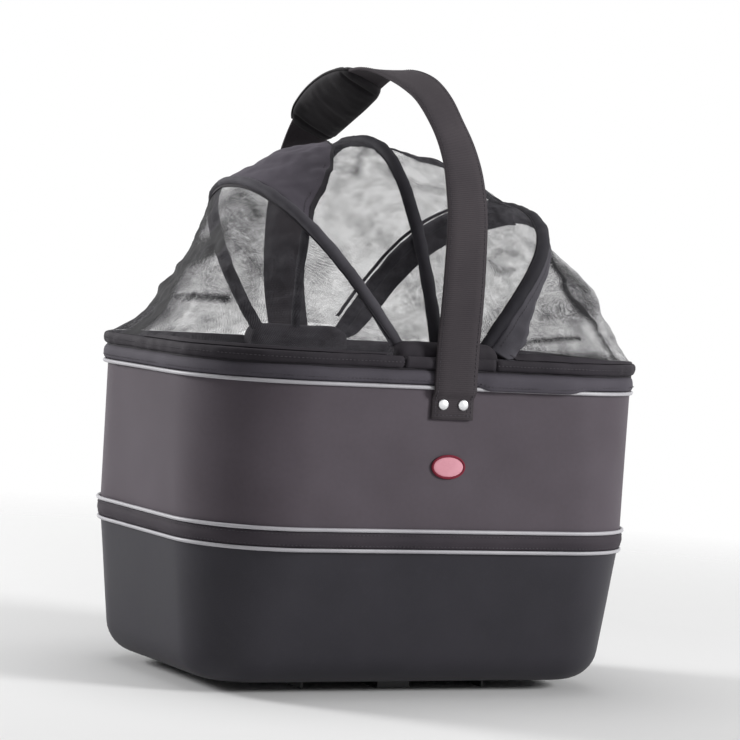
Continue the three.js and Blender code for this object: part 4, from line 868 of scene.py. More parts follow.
class Panel:  # the net between two lines, read by shares along them (s) and across from the first (t)
    def __init__(self, first, second, facts):
        self.facts = facts
        alongSteps, acrossSteps = netSteps
        s = np.linspace(0, 1, alongSteps + 1)[:, None]
        t = np.linspace(0, 1, acrossSteps + 1)[None, :]
        shares = facts["trim"] + s[:, 0] * (1 - 2 * facts["trim"])
        start = first.at(shares)
        way = second.at(shares) - start
        self.spans = np.linalg.norm(way, axis=1)
        near, far = facts["insets"]
        reach = near + t * (self.spans[:, None] - near - far)
        points = start[:, None] + (way / self.spans[:, None])[:, None] * reach[..., None]
        bell = 4 * t * (1 - t)
        fall = facts["sag"] * bell * np.sin(np.pi * s)
        for atS, atT, radiusS, radiusT, rise in facts["bumps"]:
            hill = np.exp(-((s - atS) / radiusS) ** 2 - ((t - atT) / radiusT) ** 2)
            fall = fall - rise * hill * bell ** 0.5
        wrinkles = np.zeros(fall.shape)
        dark = np.zeros(fall.shape)
        seed = facts["seed"]
        for i in range(alongSteps + 1):
            for j, point in enumerate(points[i]):
                stretched = (*point[:2], point[2] * 2.2)
                wrinkles[i, j] = 1.8 * wander(stretched, 24, seed) + 0.8 * wander(point, 8, seed + 1)
                soft = 0.16 * wander(point, 17, seed + 2) + 0.12 * wander(stretched, 6, seed + 3)
                dark[i, j] = facts["dark"] + soft
        fall = fall + wrinkles * bell ** 0.5
        # the folds' darkness: a closer net along them, and painted shade in its colour
        for width, darker, lift, path in facts["folds"]:
            share = np.exp(-(self.farFrom(points, path) / width) ** 2)
            dark += darker * share
            fall = fall - lift * share * np.minimum(1, 3 * bell)
        self.grid = points + hoodInward(points) * fall[..., None]
        self.dark = np.clip(dark, 0, 1.5)
        alongS, alongT = np.gradient(self.grid, axis=0), np.gradient(self.grid, axis=1)
        normals = np.cross(alongS, alongT)
        normals /= np.linalg.norm(normals, axis=-1, keepdims=True)
        facing = np.sign(np.sum(normals * hoodInward(self.grid), -1, keepdims=True))
        self.normals = -normals * facing

    def farFrom(self, points, path):  # how far each point is from a line given by shares
        s, t = np.array(path, float).T
        steps = np.linspace(0, len(path) - 1, 12 * len(path))
        s, t = np.interp(steps, range(len(path)), s), np.interp(steps, range(len(path)), t)
        far = np.full(points.shape[:2], 1e9)
        for a, b in zip(s, t):
            at = points[int(round(a * netSteps[0])), int(round(b * netSteps[1]))]
            far = np.minimum(far, np.linalg.norm(points - at, axis=-1))
        return far

    def at(self, s, t, lift=0.0):
        row = min(max(s, 0), 1) * netSteps[0]
        column = min(max(t, 0), 1) * netSteps[1]
        i, j = min(int(row), netSteps[0] - 1), min(int(column), netSteps[1] - 1)
        a, b = row - i, column - j

        def mixed(grid):
            return ((grid[i, j] * (1 - a) + grid[i + 1, j] * a) * (1 - b)
                    + (grid[i, j + 1] * (1 - a) + grid[i + 1, j + 1] * a) * b)
        return mixed(self.grid) + mixed(self.normals) * lift

    def shareAt(self, s, distance):  # the share across that is so many millimetres from the first line
        near, far = self.facts["insets"]
        span = float(np.interp(s, np.linspace(0, 1, len(self.spans)), self.spans))
        return min(1, max(0, (distance - near) / (span - near - far)))


panels = {}
bendSpans = {
    side: (bowLines["centre"].at(0.5) * mm, bowLines[side].at(0.5) * mm) for side in ("left", "right")
}


def rideNet(piece, name, slot):  # an end net moves with its bow; an inner net stays in place, its placing baked into its mesh
    side, part = name.split("_")
    if part == "end":
        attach(piece, "hood_" + side)
    else:
        "hood_" + side
        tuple(bendSpans[side][0])
        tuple(bendSpans[side][1])
        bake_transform(piece)


def tapeOn(name, panelName, firstEdge, secondEdge, finish, slot, steps=60, columns=6, lift=0.6, thick=0.9):
    # a thin tape that lies on a net between two lines of shares, closed all round
    panel = panels[panelName]
    places = np.linspace(0, 1, steps + 1)

    def spread(edge):
        edge = np.array(edge, float)
        own = np.linspace(0, 1, len(edge))
        return np.stack([np.interp(places, own, edge[:, k]) for k in (0, 1)], -1)
    rows = []
    for first, second in zip(spread(firstEdge), spread(secondEdge)):
        shares = [first + (second - first) * j / columns for j in range(columns + 1)]
        upper = [panel.at(s, t, lift + thick / 2) for s, t in shares]
        lower = [panel.at(s, t, lift - thick / 2) for s, t in shares]
        rows.append(upper + lower[::-1])
    rideNet(skin(name, rows, finish), panelName, slot)


def besideBow(panelName, fromS, toS, distance):  # a line that keeps its distance from the bow
    away = distance if callable(distance) else (lambda s: distance)
    return [(s, panels[panelName].shareAt(s, away(s))) for s in np.linspace(fromS, toS, 25)]


# tapes sewn over the edges of the nets: panel, from and to share, from and to distance from the bow
bowTapes = {
    "rightWide_front": ("right_end", 0.0, 0.47, 3.6,
                        along((0, 27), (0.06, 22), (0.14, 15), (0.3, 11), (0.47, 13)), "tapePale"),
    "rightWide_rear": ("right_end", 0.47, 1.0, 3.6, along((0.47, 15), (0.6, 20), (1, 24)), "tapeDark"),
    "rightSeam_rear": ("right_inner", 0.55, 0.98, 9.5, 13.0, "tapeDark"),
    "rightSeam_front": ("right_inner", 0.02, 0.45, 3.6, 6.5, "tapeDark"),
    "rightTop": ("right_inner", 0.4, 0.62, 3.6, along((0.4, 6), (0.5, 13), (0.62, 6)), "tapeMid"),
    "leftSeam": ("left_end", 0.02, 0.98, 3.6, 6.0, "tapeDark"),
    "leftInnerSeam": ("left_inner", 0.02, 0.98, 3.6, 5.6, "tapeDark"),
}


def makeNets():
    for side, sign in (("left", -1), ("right", 1)):
        hemTop = Line(ringPart(hem["high"], hemMiddle, hem[side + "End"], sign))
        panels[side + "_end"] = Panel(bowLines[side], hemTop, nets[side + "_end"])
        panels[side + "_inner"] = Panel(bowLines[side], bowLines["centre"], nets[side + "_inner"])
    for name, panel in panels.items():
        piece = skin("net_" + name, panel.grid, "net", "sheet")
        # how close the net is at each point, which also sets its painted shade in folds
        layer = piece.data.attributes.new("gatherAndShade", "FLOAT", "POINT")
        layer.data.foreach_set("value", panel.dark.reshape(-1))
        rideNet(piece, name, "netting")
        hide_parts("gore_" + name)
        long = Line(panel.grid[:, netSteps[1] // 2]).lengths[-1] * mm
        side, part = name.split("_")
        held = ["bowSleeve_" + side, "hem" + side.title() if part == "end" else "bowSleeve_centre"]


def makeBowTapes():
    for name, (panelName, fromS, toS, near, far, finish) in bowTapes.items():
        edges = [besideBow(panelName, fromS, toS, distance) for distance in (near, far)]
        tapeOn("bowTape_" + name, panelName, *edges, finish, "bow_sleeve", 110)


# where the hem stands higher on the net: (share along the net, height above the hem's top)
hemFolds = {
    "right_end": [(0.015, 7.5), (0.08, 7.4), (0.14, 5.6), (0.2, 3.8), (0.26, 2.6), (0.32, 0.6)],
    "left_end": [(0.01, 1.0), (0.1, 2.4), (0.2, 3.2), (0.3, 2.8), (0.42, 3.6), (0.5, 1.0)],
}


def makeHemFolds():
    for name, stops in hemFolds.items():
        panel = panels[name]
        near, far = nets[name]["insets"]
        height = along(*stops)
        edge = []
        for s in np.linspace(stops[0][0], stops[-1][0], 60):
            span = float(np.interp(s, np.linspace(0, 1, len(panel.spans)), panel.spans)) - near - far
            edge.append((s, 1 - min(0.9, height(s) / span)))
        tapeOn("hemFold_" + name, name, edge, [(s, 1.0) for s, _ in edge], "hem", "hem_tape", 90, 6)


ridge = {"half": 0.028, "along": 0.475}  # tape on the top of the right inner net, as shares
crown = {  # opaque cloth over the front of the left inner net, from its top line to its lower line
    "top": [(0.56, 0.0), (0.55, 0.2), (0.545, 0.38), (0.535, 0.58), (0.525, 0.7), (0.515, 0.78)],
    "low": [(0.27, 0.0), (0.3, 0.11), (0.34, 0.344), (0.38, 0.53), (0.445, 0.7), (0.5, 0.76)],
    "edge": 0.012,
}


def makeCrown():
    first, last = ridge["along"] - ridge["half"], ridge["along"] + ridge["half"]
    edges = [(first, 0), (first, 1)], [(last, 0), (last, 1)]
    tapeOn("ridgeTape", "right_inner", *edges, "tapeMid", "bow_sleeve")
    tapeOn("crownPanel", "left_inner", crown["top"], crown["low"], "crown", "bow_sleeve", 50, 40, 0.9, 1.0)
    edges = [[(s + away, t) for s, t in crown["low"]] for away in (crown["edge"] / 2, -crown["edge"] / 2)]
    tapeOn("crownEdge", "left_inner", *edges, "tapeDark", "bow_sleeve", 50, 4, 1.3, 1.2)


makeNets()
makeBowTapes()
makeHemFolds()
makeCrown()
print("nets, bow tapes and crown panel made")

# carry strap, padded grip, rivets and patch
strap = {
    "width": 38.0, "thickness": 2.6, "wallY": 147.6, "reach": 151.1, "foot": 226.0, "steps": 260,
    "bend": {"start": (0, 0, 0.255), "end": (0, 0, 0.29)},  # where the real strap bends when it swings
}
# middle of the strap from front to rear, how far it is turned and how far it leans over sideways, in degrees
strapRoute = [
    (0, -151.3, 285, 0, 0), (0, -153.5, 318, 1, 0), (0, -154, 352, 3, 0), (0, -152.5, 387, 6, 0),
    (0, -147, 408, 7, 0), (0, -139, 427, 10, 0), (0, -124, 447.5, 12, -1), (-1, -107, 465, 13, 0),
    (-2, -87, 482, 10, 4), (-3, -64, 494, 10, 11), (-4, -41, 501, 12, 11), (-5, -17, 505, 13, 5),
    (-6, 9, 504, 14, -8), (-6, 38, 497, 9, -23), (-6, 73, 486, 0, -34), (-5, 104, 474, -3, -34),
    (-4, 127, 461.5, 0, -25), (-3, 145.5, 444, 1, -14), (-3, 156.5, 425, -1, -6), (-3, 165, 403, -4, -2),
    (-3, 169.5, 380, -5, 0), (-3, 170, 356, -5, 0), (-3, 168, 332, -4, 0), (-2, 165, 310, -3, 0),
    (-1, 158, 288, -1, 0),
]


def curveThrough(points, steps):  # a smooth curve through every point, without overshoot
    points = [np.array(p, float) for p in points]
    points = [2 * points[0] - points[1]] + points + [2 * points[-1] - points[-2]]
    made = []
    for i in range(1, len(points) - 2):
        before, start, end, after = points[i - 1:i + 3]
        gaps = [max(1e-4, np.linalg.norm(b - a)) ** 0.5 for a, b in
                ((before, start), (start, end), (end, after))]
        firstWay = (start - before) / gaps[0] - (end - before) / (gaps[0] + gaps[1]) + (end - start) / gaps[1]
        lastWay = (end - start) / gaps[1] - (after - start) / (gaps[1] + gaps[2]) + (after - end) / gaps[2]
        firstWay, lastWay = firstWay * gaps[1], lastWay * gaps[1]
        for k in range(steps):
            t = k / steps
            made.append(
                start + firstWay * t
                + (-3 * start + 3 * end - 2 * firstWay - lastWay) * t * t
                + (2 * start - 2 * end + firstWay + lastWay) * t ** 3
            )
    made.append(points[-2])
    return made


def strapWhole():
    low, wall, out = strap["foot"], strap["wallY"], strap["reach"]
    front = [(0, -wall, low, 0, 0), (0, -wall, 236, 0, 0), (0, -wall, 243.5, 0, 0), (0, -out, 247.2, 0, 0),
             (0, -out, 256, 0, 0), (0, -out, 266, 0, 0)]
    rear = [(x, -y, z, turn, roll) for x, y, z, turn, roll in front[::-1]]
    return Line(curveThrough(front + strapRoute + rear, 10))


strapLine = strapWhole()


def strapFrame(share, step=0.006):  # its middle, the way across it and the way out of its outer face
    station = strapLine.at(share)
    turn, roll = np.radians(station[3]), np.radians(station[4])
    across = np.array([math.cos(turn) * math.cos(roll), math.sin(turn) * math.cos(roll), math.sin(roll)])
    outward = np.cross(across, strapLine.direction(share, step))
    return station[:3], across, outward / np.linalg.norm(outward)


def makeStrap():
    half, thick = strap["width"] / 2, strap["thickness"] / 2
    upper = [(-1, 0.55), (-0.97, 1), (-0.5, 1), (0, 1), (0.5, 1), (0.97, 1), (1, 0.55)]
    section = upper + [(a, -b) for a, b in upper[::-1]]
    rows = []
    for i in range(strap["steps"] + 1):
        middle, across, outward = strapFrame(i / strap["steps"])
        rows.append([middle + across * a * half + outward * b * thick for a, b in section])
    piece = skin("carryStrap", rows, "webbing")
    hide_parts("carry_strap", "strap_tab_front", "strap_tab_rear")
    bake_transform(piece)


grip = {
    "frontY": 26.5, "rearY": 135.0, "endHalf": 21.6, "middleHalf": 25.0, "thin": 3.4, "thick": 7.4,
    "corner": 20.0,  # length over which its ends are rounded off
    "draw": 9.0,  # how far they draw in there
    "steps": 96, "reach": 0.012,  # stations along it, and the share of the strap that gives its direction
    "sewn": {"at": 0.1, "width": 0.016, "depth": 0.3},  # the line near each end, as shares
    "seam": {"radius": 1.1, "out": 0.5, "from": 0.04},  # the roll along its side
}


def gripHalf(share, length):  # half its width, rounded off towards both ends
    half = grip["endHalf"] + (grip["middleHalf"] - grip["endHalf"]) * math.sin(math.pi * share) ** 0.5
    fromCorner = max(0, 1 - min(share, 1 - share) * length / grip["corner"])
    return half - grip["draw"] * (1 - math.sqrt(1 - fromCorner ** 2))


def makeGrip():
    # padded sleeve closed round the strap, with a sewn line near each end
    high = strapLine.points[:, 2] > 400
    shares = strapLine.lengths / strapLine.lengths[-1]
    start, end = (float(shares[high][np.argmin(abs(strapLine.points[high, 1] - y))])
                  for y in (grip["frontY"], grip["rearY"]))
    length = abs(end - start) * strapLine.lengths[-1]
    rows = []
    steps = grip["steps"]
    sewnAt, sewnWidth, sewnDepth = grip["sewn"].values()
    for i in range(steps + 1):
        share = i / steps
        middle, across, outward = strapFrame(start + (end - start) * share, grip["reach"])
        swell = math.sin(math.pi * share) ** 0.5
        close = min(1, (min(share, 1 - share) * steps + 0.3) / 3.5) ** 0.5
        sewn = 1 - sewnDepth * math.exp(-((min(share, 1 - share) - sewnAt) / sewnWidth) ** 2)
        half = gripHalf(share, length)
        thick = (grip["thin"] + (grip["thick"] - grip["thin"]) * swell) * close * sewn
        row = []
        for a, b in ovalSection(0, 0, 1, 1, 32, 0.72):
            point = middle + across * a * half + outward * b * thick
            row.append(point + outward * b * pucker("grip", point))
        rows.append(row)
    piece = skin("gripSleeve", rows, "padding")
    settle(piece, "handle", "padding", "grip_sleeve")
    seam = []
    radius, out, first = grip["seam"].values()
    for i in range(steps + 1):
        share = first + (1 - 2 * first) * i / steps
        middle, across, outward = strapFrame(start + (end - start) * share, grip["reach"])
        centre = middle - across * (gripHalf(share, length) + out)
        seam.append([centre + across * a + outward * b for a, b in ovalSection(0, 0, radius, radius, 8)])
    settle(skin("gripSeam", seam, "padding"), "handle", "padding")


rivet = {"radius": 4.6, "rise": 2.0, "places": (-9, 9), "height": 238.0}


def makeRivets():
    profile = [(rivet["radius"] * 0.97, -1), (rivet["radius"], -0.5), (rivet["radius"], 0)]
    profile += [(rivet["radius"] * math.cos(angle), rivet["rise"] * math.sin(angle))
                for angle in (i / 8 * math.pi / 2 for i in range(1, 8))]
    profile += [(0.2, rivet["rise"])]
    for side, label in ends:
        for x in rivet["places"]:
            centre = np.array([x, side * (strap["wallY"] + strap["thickness"] / 2 + 0.3), rivet["height"]])
            name = f"rivetHead_{label}_{'left' if x < 0 else 'right'}"
            settle(turned(name, "rivet", centre, (0, side, 0), profile), "root", "steel")


patch = {"halfLength": 15.2, "halfHeight": 9.6, "z": 188.0, "y": -147.15, "rim": 1.6}


def makePatch():
    # sewn oval, raised in the middle, with an overlocked border
    x, y, z, width = patch["halfLength"] - patch["rim"], patch["y"], patch["z"], patch["rim"]
    high = patch["halfHeight"] - width
    rises = ((1.0, 0.25), (0.97, 0.5), (0.85, 0.72), (0.6, 0.88), (0.3, 0.95), (0.001, 0.95))
    rows = [
        [(x * share * math.cos(a), y - lift, z + high * share * math.sin(a)) for a in circle(64)]
        for share, lift in rises
    ]
    settle(skin("patchField", rows, "patch"), "root", "badge", "oval_patch")
    rows = []
    for a in circle(96):
        out = np.array([math.cos(a) / x, 0, math.sin(a) / high])
        out /= np.linalg.norm(out)
        middle = np.array([x * math.cos(a), y - 0.35, z + high * math.sin(a)])
        rows.append([
            middle + out * width * (0.5 + 0.62 * math.cos(t)) + np.array([0, -0.8 * math.sin(t), 0])
            for t in circle(12)
        ])
    settle(skin("patchRim", rows, "patchRim", "belt"), "root", "badge")


makeStrap()
makeGrip()
makeRivets()
makePatch()
print("strap, grip, rivets and patch made")

# cushion
cushion = {
    "low": 15.8, "high": 41.5, "edge": -13.5, "pull": 2.2, "pullAcross": 160, "topFrom": -20,
    "voxel": 5 * mm, "pressure": 4.0, "cap": 6 * mm, "frames": 20,
    "channelInset": 26.0, "channelDepth": 4.0, "channelWidth": 5.0, "rippleWidth": 14, "crossX": 50,
    "fade": 8 * mm,
    "piping": {"out": 3.0, "z": 29.5, "radius": 1.5},
}


def cushionBlank():
    # the pad as it is before it swells: sides rounded, pulled in between the corners
    height = cushion["high"] - cushion["low"]
    profile = [(-60, 0.0), (-30, 0.0), (-9, 0.0), (-3, 0.12), (-0.4, 0.35), (0, 0.5), (-0.4, 0.7), (-3, 0.9),
               (-9, 1.0), (-20, 1.03), (-40, 1.08), (-70, 1.12)]
    halfX, halfY, _ = outlineAt(baseHeight)
    grid = []
    for offset, rise in profile:
        ring = ringAt(baseHeight, cushion["edge"] + offset, cushion["low"] + rise * height)
        if offset > cushion["topFrom"]:
            for point in ring:
                corner = min(1, abs(point[0] / halfX) ** 4 + abs(point[1] / halfY) ** 4)
                point[:2] *= 1 - cushion["pull"] * (1 - corner) / cushion["pullAcross"]
        grid.append(ring)
    return skin("floorCushion", grid, "cushion")


def bakeModifiers(piece):  # the evaluated shape becomes the piece's own plain mesh
    graph = bpy.context.evaluated_depsgraph_get()
    mesh = bpy.data.meshes.new_from_object(piece.evaluated_get(graph), depsgraph=graph)
    piece.modifiers.clear()
    piece.data = mesh
    return piece


def coordinates(mesh):
    flat = np.empty(len(mesh.vertices) * 3)
    mesh.vertices.foreach_get("co", flat)
    return flat.reshape(-1, 3)


def swellCushion(piece):
    remesh = piece.modifiers.new("remesh", "REMESH")
    remesh.mode = "VOXEL"
    remesh.voxel_size = cushion["voxel"]
    bakeModifiers(piece)
    before = coordinates(piece.data)
    cloth = piece.modifiers.new("cloth", "CLOTH")
    cloth.settings.use_pressure = True
    cloth.settings.uniform_pressure_force = cushion["pressure"]
    cloth.settings.effector_weights.gravity = 0
    cloth.point_cache.frame_start = 1
    cloth.point_cache.frame_end = cushion["frames"]
    for step in range(1, cushion["frames"] + 1):
        scene.frame_set(step)
    graph = bpy.context.evaluated_depsgraph_get()
    swollen = piece.evaluated_get(graph).to_mesh()
    moved = coordinates(swollen) - before
    piece.evaluated_get(graph).to_mesh_clear()
    piece.modifiers.clear()
    scene.frame_set(1)
    far = np.linalg.norm(moved, axis=1, keepdims=True)
    placed = before + moved * np.minimum(1, cushion["cap"] / np.maximum(far, 1e-9))
    piece.data.vertices.foreach_set("co", placed.reshape(-1))
    print("cushion swollen by up to", round(float(min(far.max(), cushion["cap"])) * 1000, 1), "mm")
    subdivision = piece.modifiers.new("subdivision", "SUBSURF")
    subdivision.levels = 1
    subdivision.render_levels = 1
    bakeModifiers(piece)


def insetAt(x, y):  # how far inside the pad's edge a place is, in millimetres
    halfX, halfY, corner = (value + cushion["edge"] for value in outlineAt(baseHeight))
    overX, overY = abs(x) - halfX + corner, abs(y) - halfY + corner
    outside = math.hypot(max(overX, 0), max(overY, 0)) + min(max(overX, overY), 0)
    return corner - outside


def sewCushion(piece):
    # sewn channel round the top, cross channels, and a flat underside on the board
    points = coordinates(piece.data)
    middle = (cushion["low"] + cushion["high"]) / 2 * mm
    for point in points:
        x, y = point[0] / mm, point[1] / mm
        if point[2] > middle:
            inset = insetAt(x, y)
            lines = [inset - cushion["channelInset"]]
            if inset > cushion["channelInset"]:
                lines += [x - cushion["crossX"], x + cushion["crossX"]]
            nearest = min(abs(value) for value in lines)
            fade = min(1, (point[2] - middle) / cushion["fade"])
            depth = cushion["channelDepth"] * math.exp(-(nearest / cushion["channelWidth"]) ** 2)
            ripple = pucker("cushion", (x, y, 0)) * math.exp(-(nearest / cushion["rippleWidth"]) ** 2)
            point[2] -= (depth - ripple) * fade * mm
        point[2] = max(point[2], cushion["low"] * mm)
    piece.data.vertices.foreach_set("co", points.reshape(-1))
    piece.data.polygons.foreach_set("use_smooth", [True] * len(piece.data.polygons))
    piece.data.materials.clear()
    piece.data.materials.append(finishes["cushion"])
    piece.data.update()


def makeCushion():
    piece = cushionBlank()
    swellCushion(piece)
    sewCushion(piece)
    settle(piece, "root", "cushion_cloth", "floor_cushion")
    out, z, radius = cushion["piping"].values()
    section = ovalSection(cushion["edge"] + out, z, radius, radius, 10)
    rows = [ringAt(baseHeight, offset, height) for offset, height in section]
    settle(skin("cushionPiping", rows, "cushion", "belt"), "root", "cushion_cloth")


makeCushion()
print("cushion made")

# zip along the straight rear side: its tapes, and teeth by Geometry Nodes
zipFacts = {
    "half": 118.0, "meeting": 265.4, "tape": 6.9, "y": (149.3, 149.95), "toothRow": 0.75,
    "runs": (("Left", "hood_left", -121.0, -45.6), ("Middle", "root", -44.4, 36.4),
             ("Right", "hood_right", 37.6, 121.0)),
}
# pitch, width, height and length of the form that a row repeats, in millimetres, and its finish
repeats = {"stitch": ((3.4, 0.62, 0.62, 2.4), "thread"), "tooth": ((2.4, 2.7, 1.3, 1.15), "tooth")}
rowSizes = ("Spacing", "Width", "Height", "Length")


def repeatTree(kind):
    # a tree that sets one small form again and again along lines
    tree = bpy.data.node_groups.new(kind + "Row", "GeometryNodeTree")
    sorts = {"Lines": "Geometry", **{name: "Float" for name in rowSizes}, "Finish": "Material"}
    for name, sort in sorts.items():
        tree.interface.new_socket(name, in_out="INPUT", socket_type="NodeSocket" + sort)
    tree.interface.new_socket("Row", in_out="OUTPUT", socket_type="NodeSocketGeometry")
    maker = NodeMaker(tree)
    node = maker.node
    given = {socket.name: Socket(maker, socket) for socket in tree.nodes.new("NodeGroupInput").outputs}
    lines = node("GeometryNodeMeshToCurve", {"Mesh": given["Lines"]})
    spots = node("GeometryNodeResampleCurve", {"Curve": lines, "Length": given["Spacing"]}, mode="LENGTH")
    if kind == "stitch":
        form = node("GeometryNodeMeshUVSphere", {"Segments": 6, "Rings": 5, "Radius": 0.5})
    else:
        cube = node("GeometryNodeMeshCube", {"Size": (1, 1, 1)})
        form = node("GeometryNodeSubdivisionSurface", {"Mesh": cube, "Level": 1, "Edge Crease": 0.75})
    size = node("ShaderNodeCombineXYZ", {"X": given["Width"], "Y": given["Height"], "Z": given["Length"]})
    spread = {"Min": (0.9, 0.9, 0.88), "Max": (1.08, 1.08, 1.08), "Seed": 7}
    vary = node("FunctionNodeRandomValue", spread, data_type="FLOAT_VECTOR")
    sized = node("ShaderNodeVectorMath", {0: size, 1: vary}, operation="MULTIPLY")
    way = node("GeometryNodeInputTangent", {})
    turn = node("FunctionNodeAlignRotationToVector", {"Vector": way}, axis="Z")
    places = {"Points": spots, "Instance": form, "Rotation": turn, "Scale": sized}
    real = node("GeometryNodeRealizeInstances", {"Geometry": node("GeometryNodeInstanceOnPoints", places)})
    smooth = node("GeometryNodeSetShadeSmooth", {"Geometry": real})
    dressed = node("GeometryNodeSetMaterial", {"Geometry": smooth, "Material": given["Finish"]})
    maker.fill(tree.nodes.new("NodeGroupOutput"), {"Row": dressed})
    return tree


repeatTrees = {kind: repeatTree(kind) for kind in repeats}


def repeatAlong(name, kind, lines, closed=False):
    # lines are runs of points in millimetres; the result is one plain mesh
    points, edges = [], []
    for line in lines:
        start = len(points)
        points += [tuple(np.asarray(point, float) * mm) for point in line]
        edges += [(i, i + 1) for i in range(start, len(points) - 1)]
        if closed:
            edges.append((len(points) - 1, start))
    mesh = bpy.data.meshes.new(name)
    mesh.from_pydata(points, edges, [])
    piece = bpy.data.objects.new(name, mesh)
    scene.collection.objects.link(piece)
    modifier = piece.modifiers.new("row", "NODES")
    modifier.node_group = repeatTrees[kind]
    sizes, finish = repeats[kind]
    values = {label: size * mm for label, size in zip(rowSizes, sizes)}
    values["Finish"] = finishes[finish]
    for socket in repeatTrees[kind].interface.items_tree:
        if socket.name in values:
            modifier[socket.identifier] = values[socket.name]
    return bakeModifiers(piece)


# where the sewn lines lie: heights, places out from the wall or the strap's middle, and shares
seams = {
    "waist": (123.6, 132.4), "waistOut": 1.9, "binding": (256.2, 3.45), "bindingSwell": (1, 0.95),
    "hem": 270.4, "hemOut": 0.25, "hemInset": 2, "strapSide": 16.2, "strapOut": 0.15, "strapSteps": 200,
    "trim": 0.004, "bowFrom": 9.5, "bowLift": 1.2, "crownShift": 0.02, "crownLift": 1.5,
    "tab": {"x": 13, "low": 229.5, "high": 244},
}


def strapRow(side):  # a line on the outer face of the strap, so far from its middle
    made = []
    steps, trim = seams["strapSteps"], seams["trim"]
    for i in range(steps + 1):
        middle, across, outward = strapFrame(trim + (1 - 2 * trim) * i / steps)
        made.append(middle + across * side + outward * (strap["thickness"] / 2 + seams["strapOut"]))
    return made


def panelRow(name, places, lift):  # a line on a net
    return [panels[name].at(s, t, lift) for s, t in places]


def makeStitches():
    def sew(name, lines, body, slot, closed=False):
        settle(repeatAlong(name, "stitch", lines, closed), body, slot)

    sew("waistStitches", [ringAt(z, seams["waistOut"]) for z in seams["waist"]], "root", "band_tape", True)
    row = swellRing(ringAt(*seams["binding"]), *seams["bindingSwell"])
    sew("bindingStitches", [row], "root", "hem_tape", True)
    for side, label in ((-1, "left"), (1, "right")):
        start = hem[label + "End"] + side * seams["hemInset"]
        row = ringPart(seams["hem"], hem["outer"] + seams["hemOut"], start, side)
        sew("hemStitches" + label.title(), [row], "hood_" + label, "hem_tape")
    rows = [strapRow(side * seams["strapSide"]) for side in (-1, 1)]
    strapRows = repeatAlong("strapStitches", "stitch", rows)
    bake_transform(strapRows)
    x, low, high = seams["tab"].values()
    boxes = []
    for side, _ in ends:
        y = side * (strap["wallY"] + strap["thickness"] / 2 + seams["strapOut"])
        boxes += [[(-x, y, low), (x, y, low)], [(-x, y, low), (-x, y, high)], [(x, y, low), (x, y, high)]]
    sew("tabStitches", boxes, "root", "webbing")
    shareAt = panels["right_end"].shareAt
    places = [(s, shareAt(s, seams["bowFrom"])) for s in np.linspace(0.02, 0.98, 160)]
    sew("bowStitches", [panelRow("right_end", places, seams["bowLift"])], "hood_right", "bow_sleeve")
    places = [(s + seams["crownShift"], t) for s, t in crown["low"]]
    row = panelRow("left_inner", places, seams["crownLift"])
    rideNet(repeatAlong("crownStitches", "stitch", [row]), "left_inner", "bow_sleeve")


def makeZip():
    low, high = zipFacts["y"]
    meeting, half, pitch = zipFacts["meeting"], zipFacts["half"], repeats["tooth"][0][0]

    def tape(name, fromX, toX, fromZ, toZ, body):
        section = [(low, fromZ), (high - 0.1, fromZ), (high, fromZ + 0.4), (high, toZ - 0.4),
                   (high - 0.1, toZ), (low, toZ)]
        rows = [[(x, y, z) for y, z in section] for x in np.linspace(fromX, toX, 40)]
        settle(skin(name, rows, "tapeDark"), body, "hem_tape")

    def teeth(name, fromX, toX, z, body):
        row = [(x, high + 0.45, z) for x in np.linspace(fromX, toX, 12)]
        settle(repeatAlong(name, "tooth", [row]), body, "black_steel")

    tape("zipTapeLow", -121, 121, meeting - zipFacts["tape"], meeting, "root")
    teeth("zipTeethLow", -half, half, meeting - zipFacts["toothRow"], "root")
    for label, body, fromX, toX in zipFacts["runs"]:
        tape("zipTapeHigh" + label, fromX, toX, meeting + 0.1, meeting + zipFacts["tape"], body)
        count = math.ceil((max(fromX, -half) + half - pitch / 2) / pitch)
        start = -half + pitch / 2 + count * pitch
        span = math.floor((min(toX, half) - start) / pitch) * pitch
        teeth("zipTeethHigh" + label, start, start + span, meeting + zipFacts["toothRow"], body)


makeStitches()
makeZip()
print("stitches and zip made")

# coil under the push button; the real one is pressed together with it
coil = {"turns": 4, "radius": 4.4, "wire": 0.6, "stepsPerTurn": 24, "travel": 5.0}


def makeButtonCoil():
    lowest, highest = (np.array(corner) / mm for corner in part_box("button_spring"))
    middle = (lowest + highest) / 2
    low, high = lowest[2] + coil["wire"], highest[2] - coil["wire"]
    steps = coil["turns"] * coil["stepsPerTurn"]
    rows = []
    for i in range(steps + 1):
        angle = 2 * math.pi * i / coil["stepsPerTurn"]
        out = np.array([math.cos(angle), math.sin(angle), 0])
        centre = np.array([middle[0], middle[1], low + (high - low) * i / steps]) + out * coil["radius"]
        wire = ovalSection(0, 0, coil["wire"], coil["wire"], 8)
        rows.append([centre + out * a + np.array([0, 0, b]) for a, b in wire])
    piece = skin("buttonCoil", rows, "steel")
    settle(piece, "adapter", "steel", "button_spring")
    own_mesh(piece)


makeButtonCoil()
print("button coil made")

# finishes of the CAD parts that stay
keptFinishes = {
    "steel": ["rim_wire", "base_screw_", "bracket_bolt_", "bracket_nut_", "clamp_bolt_", "strap_rivet_",
              "zip_slider_", "zip_pull_"],
    "black": ["rear_bracket", "hook_plate", "hub_plate_"],
    "board": ["floor_board", "rear_stiffener"],
    "plastic": ["adapter_body", "clamp_cap_"],
    "signal": ["release_button"],
}
# edges that are rounded a little, in millimetres
keptEdges = {
    "adapter_body": 0.6, "clamp_cap_": 0.5, "release_button": 0.5, "hook_plate": 0.5, "rear_bracket": 0.5,
    "hub_plate_": 0.4, "zip_slider_": 0.25, "zip_pull_": 0.2,
}


def nodesFrom(starts):
    return [node for name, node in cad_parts.items() if name.startswith(tuple(starts))]


